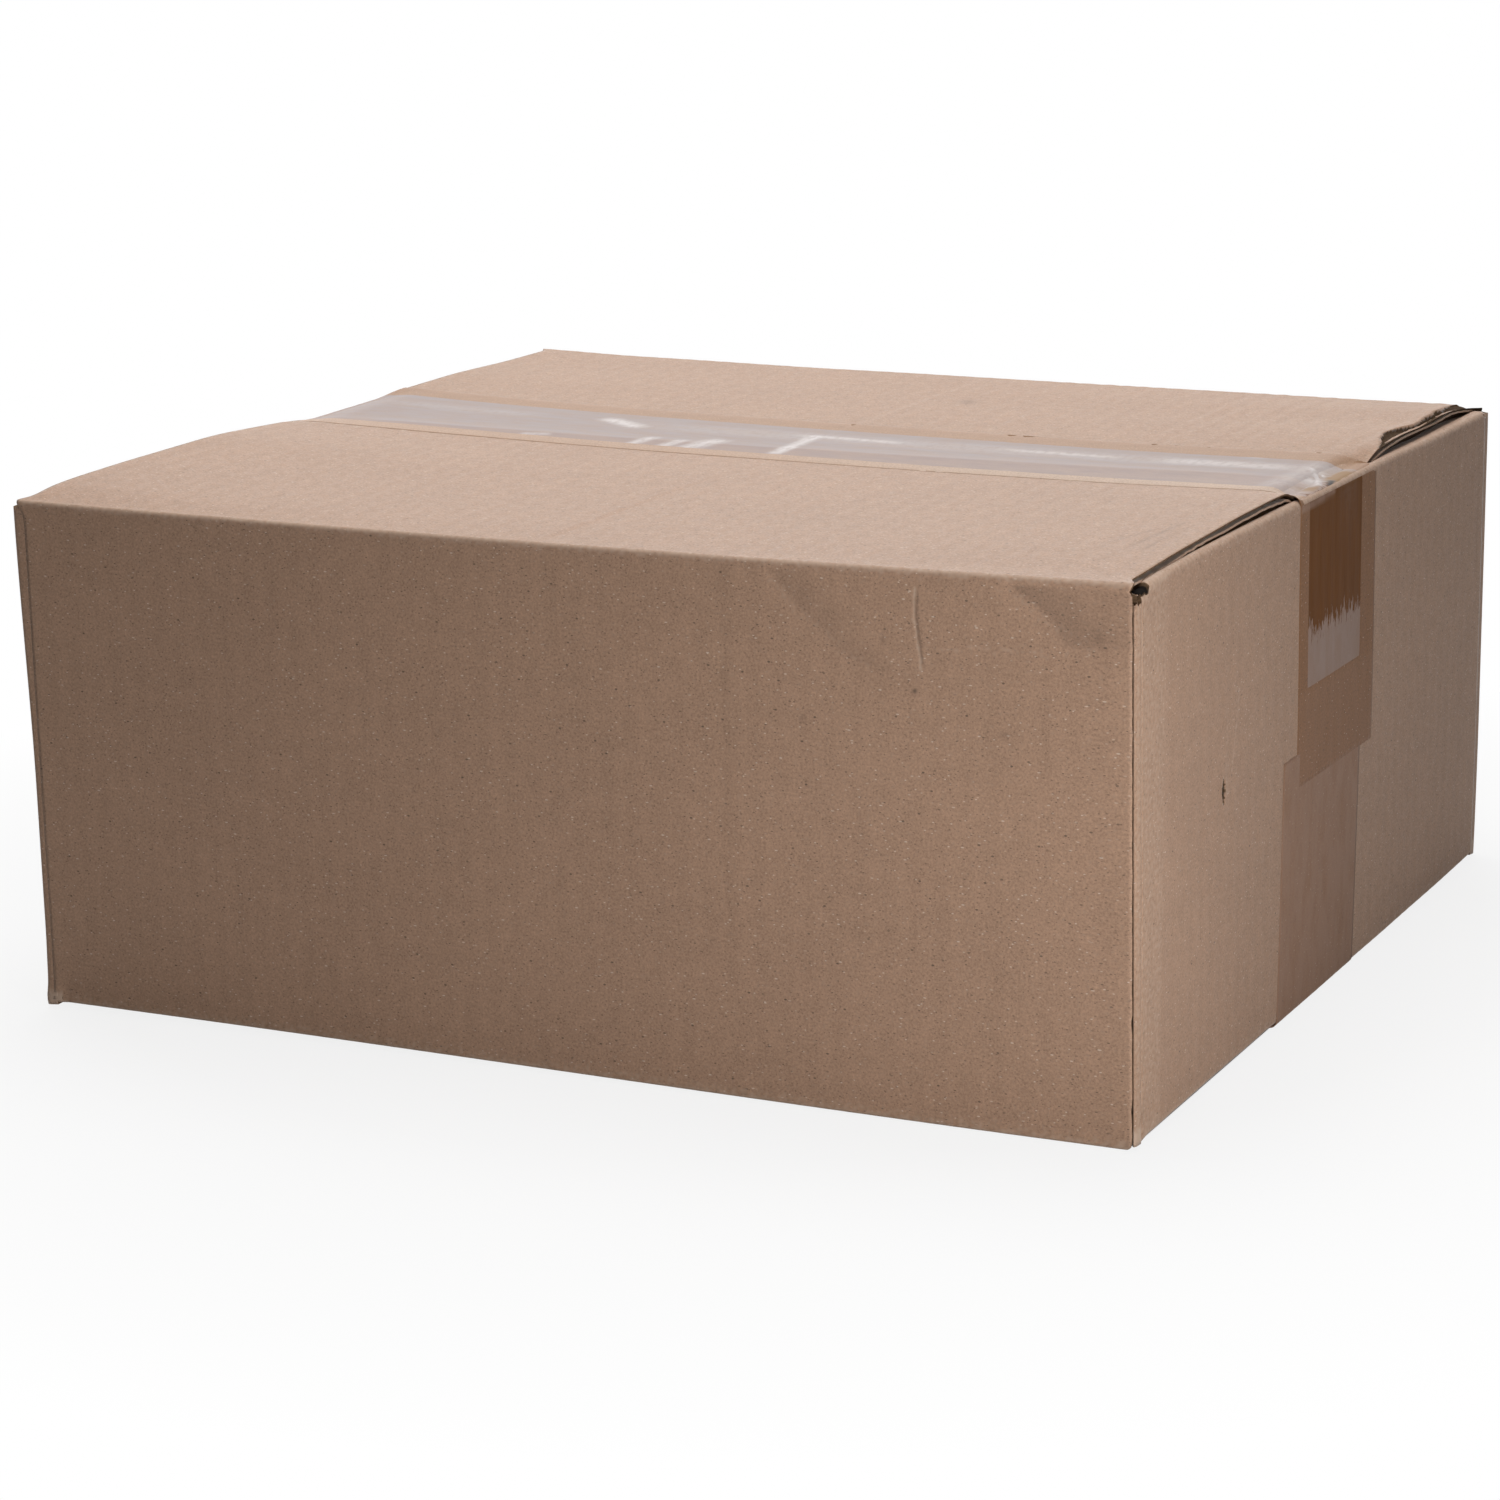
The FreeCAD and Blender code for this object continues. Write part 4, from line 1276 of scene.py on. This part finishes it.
def tape_material(kraft):
    """The board seen through clear film, by how the film sticks.

    One layer deepens the board a little, but on the top a painted sheen lightens it. Under two
    layers it is dark brown where the glue has wetted it, up to a ragged front, and hazy where air
    is left, with painted white reflections on the top.
    """
    material, tree, shader = new_material("clear_tape_on_board", 0.4, 0.02)
    place = on_sheet(tree)
    upper = mask(tree, "upper")

    def board_under(colour, flecks=0.5):
        """The paper under one layer of film."""
        return paper_on(tree, kraft, colour, 0.8, flecks, 0.0)["Color"]

    def grain(along, across, detail, rough):
        """Noise drawn out along the strip."""
        return noise(tree, scaled(tree, place, along, across), 1.0, detail, rough)

    run = node(tree, "ShaderNodeSeparateXYZ", {0: place}).outputs[1]
    clear_share = remap(tree, run, -0.02, 0.08)
    margin = blend(tree, clear_share, board_under(FILM_LOOSE_AND_SHEEN), board_under(FILM_CLEAR_AND_SHEEN))
    behind_seam = remap(tree, mask(tree, "seam"), 0.0, 10.0)
    margin = blend(tree, behind_seam, margin, board_under(FILM_LOOSE_BACK))
    single = blend(tree, upper, board_under(FILM_PRESSED, 0.9), margin)

    long_grain = grain(600.0, 55.0, 3.0, 0.6)
    front = vary(tree, long_grain, 15.0, mask(tree, "wet"))
    front = vary(tree, grain(1700.0, 300.0, 2.0, 0.6), 13.0, front)
    wet_colour = shaded(tree, FILM_WET[:3], vary(tree, long_grain, 0.5, 1.0))
    wet_colour = blend(tree, 0.03, wet_colour, single)

    cloud = grain(160.0, 60.0, 3.0, 0.65)
    behind = remap(tree, vary(tree, cloud, 5.0, mask(tree, "seam")), -0.5, 1.5)
    haze = blend(tree, upper, FILM_HAZE, blend(tree, behind, FILM_HAZE_TOP, FILM_BACK_TOP))
    haze = blend(tree, remap(tree, cloud, 0.35, 0.7, 0.7, 1.0), single, haze)

    doubled = remap(tree, mask(tree, "second"), -0.12, 0.12)
    colour = blend(tree, doubled, single, blend(tree, remap(tree, front, -0.6, 0.8), haze, wet_colour))
    broken = remap(tree, grain(220.0, 500.0, 2.0, 0.5), 0.3, 0.55, 0.55, 1.0)
    patchy = remap(tree, cloud, 0.3, 0.6, 0.6, 1.0)
    # painted reflections: white streaks where wrinkles and air pockets catch the light
    streak = times(tree, times(tree, mask(tree, "streak"), broken), doubled, clamp=True)
    colour = blend(tree, streak, colour, FILM_WHITE)
    # paler film, and the painted highlight along the right end's crease
    colour = blend(tree, times(tree, mask(tree, "pale"), patchy), colour, FILM_PALE)
    colour = blend(tree, times(tree, mask(tree, "tan"), patchy, clamp=True), colour, FILM_TAN)
    # painted shade of the opening under the film
    colour = blend(tree, mask(tree, "gap"), colour, FILM_GAP_SHADE)
    tree.links.new(colour, shader.inputs["Base Color"])
    bump(tree, shader, grain(300.0, 90.0, 3.0, 0.5), 0.25, 0.0002)
    return material


# Camera, light and stage

CAMERA_PLACE = (534.73, -1120.76, 360.98)       # in millimetres, fitted to the box's corners
AZIMUTH, ELEVATION, ROLL = 0.456471, 0.239053, -0.0227827
FOCAL_PIXELS = 4045.5
FRAME_PIXELS = 1500.0
SENSOR_WIDTH = 36.0


def make_camera():
    """The photograph's viewing angle: a long lens a little to the right of the front and above."""
    back = np.array([math.sin(AZIMUTH) * math.cos(ELEVATION), -math.cos(AZIMUTH) * math.cos(ELEVATION),
                     math.sin(ELEVATION)])
    right = np.array([math.cos(AZIMUTH), math.sin(AZIMUTH), 0.0])
    up = np.cross(back, right)
    matrix = np.eye(4)
    matrix[:3, 0] = math.cos(ROLL) * right + math.sin(ROLL) * up
    matrix[:3, 1] = -math.sin(ROLL) * right + math.cos(ROLL) * up
    matrix[:3, 2] = back
    matrix[:3, 3] = np.array(CAMERA_PLACE) * MM
    data = bpy.data.cameras.new("camera")
    data.sensor_width = SENSOR_WIDTH
    data.lens = FOCAL_PIXELS * SENSOR_WIDTH / FRAME_PIXELS
    camera = bpy.data.objects.new("camera", data)
    bpy.context.scene.collection.objects.link(camera)
    camera.matrix_world = Matrix(matrix.tolist())
    bpy.context.scene.camera = camera


def area_light(name, place, aim, size, watts, spread=180):
    """A rectangular softbox that the camera doesn't see."""
    data = bpy.data.lights.new(name, "AREA")
    data.shape = "RECTANGLE"
    data.size, data.size_y = size
    data.energy = watts
    data.spread = math.radians(spread)
    lamp = bpy.data.objects.new(name, data)
    bpy.context.scene.collection.objects.link(lamp)
    lamp.location = place
    lamp.rotation_euler = (Vector(aim) - Vector(place)).to_track_quat("-Z", "Y").to_euler()
    lamp.visible_camera = False


def make_lights():
    """A near soft key off the front right corner, a wide overhead softbox and a fill behind the box."""
    area_light("key_softbox", (0.485, -0.46, 0.165), (0.055, -0.21, 0.07), (0.3, 0.3), 0.80, spread=104)
    area_light("overhead_softbox", (-0.1, 0.15, 1.2), (-0.03, 0.0, 0.1), (0.75, 0.75), 13.0)
    area_light("backdrop_panel", (-0.75, 1.55, 0.75), (0.0, 0.0, 0.12), (2.0, 1.1), 12.0)


def make_world():
    """White for the camera and for reflections, and a dimmer plain light for everything else."""
    world = bpy.data.worlds.new("studio")
    world.use_nodes = True
    tree = world.node_tree
    rays = node(tree, "ShaderNodeLightPath").outputs
    seen = most(tree, rays["Is Camera Ray"], rays["Is Glossy Ray"])
    seen = most(tree, seen, rays["Is Transmission Ray"])
    background = tree.nodes["Background"].inputs
    background["Color"].default_value = (1, 1, 1, 1)
    tree.links.new(remap(tree, seen, 0.0, 1.0, 0.02, 1.0), background["Strength"])
    bpy.context.scene.world = world


def make_floor():
    """A pale floor that holds the box's shadow and fades into the white background.

    Its own white is left out under the box, so that none of it shows below the raised creases.
    """
    half = 6.0
    corners = [(-half, -half, 0), (half, -half, 0), (half, half, 0), (-half, half, 0)]
    mesh = bpy.data.meshes.new("floor")
    mesh.from_pydata(corners, [], [(0, 1, 2, 3)])
    floor = bpy.data.objects.new("floor", mesh)
    bpy.context.scene.collection.objects.link(floor)
    floor.location.z = -0.0001
    material = bpy.data.materials.new("floor_paper")
    material.use_nodes = True
    tree = material.node_tree
    tree.nodes.remove(tree.nodes["Principled BSDF"])
    diffuse = node(tree, "ShaderNodeBsdfDiffuse", {"Color": (0.62, 0.62, 0.62, 1)}).outputs[0]
    glow = node(tree, "ShaderNodeEmission", {"Color": (1, 1, 1, 1), "Strength": 1.0}).outputs[0]
    rays = node(tree, "ShaderNodeLightPath").outputs
    mirrored = most(tree, rays["Is Glossy Ray"], rays["Is Transmission Ray"])
    seen = most(tree, rays["Is Camera Ray"], times(tree, mirrored, 0.5))
    place = node(tree, "ShaderNodeTexCoord").outputs["Object"]
    away = node(tree, "ShaderNodeVectorMath", {0: place}, operation="LENGTH").outputs["Value"]
    split = node(tree, "ShaderNodeSeparateXYZ", {0: place}).outputs
    past_end = calc(tree, "SUBTRACT", calc(tree, "ABSOLUTE", split[0]), (END - 2.0) * MM)
    past_side = calc(tree, "SUBTRACT", calc(tree, "ABSOLUTE", split[1]), (SIDE - 8.0) * MM)
    beside_box = calc(tree, "GREATER_THAN", most(tree, past_end, past_side), 0.0)
    white = times(tree, remap(tree, away, 0.22, 0.42, 0.84, 1.0), beside_box)
    mix = node(tree, "ShaderNodeMixShader", {0: times(tree, seen, white), 1: diffuse, 2: glow}).outputs[0]
    tree.links.new(mix, tree.nodes["Material Output"].inputs["Surface"])
    mesh.materials.append(material)


def main():
    """Build the box, its finishes, and the stage that it stands on."""
    kraft = kraft_group(fleck_group())
    materials = [board_material(kraft), edge_material(kraft)]
    build_long_sheets(materials)
    build_end_sheets(materials)
    build_corners(materials)
    build_medium(materials)
    build_tapes(tape_material(kraft))
    make_camera()
    make_lights()
    make_world()
    make_floor()
    bpy.context.scene.view_settings.view_transform = "Standard"


main()
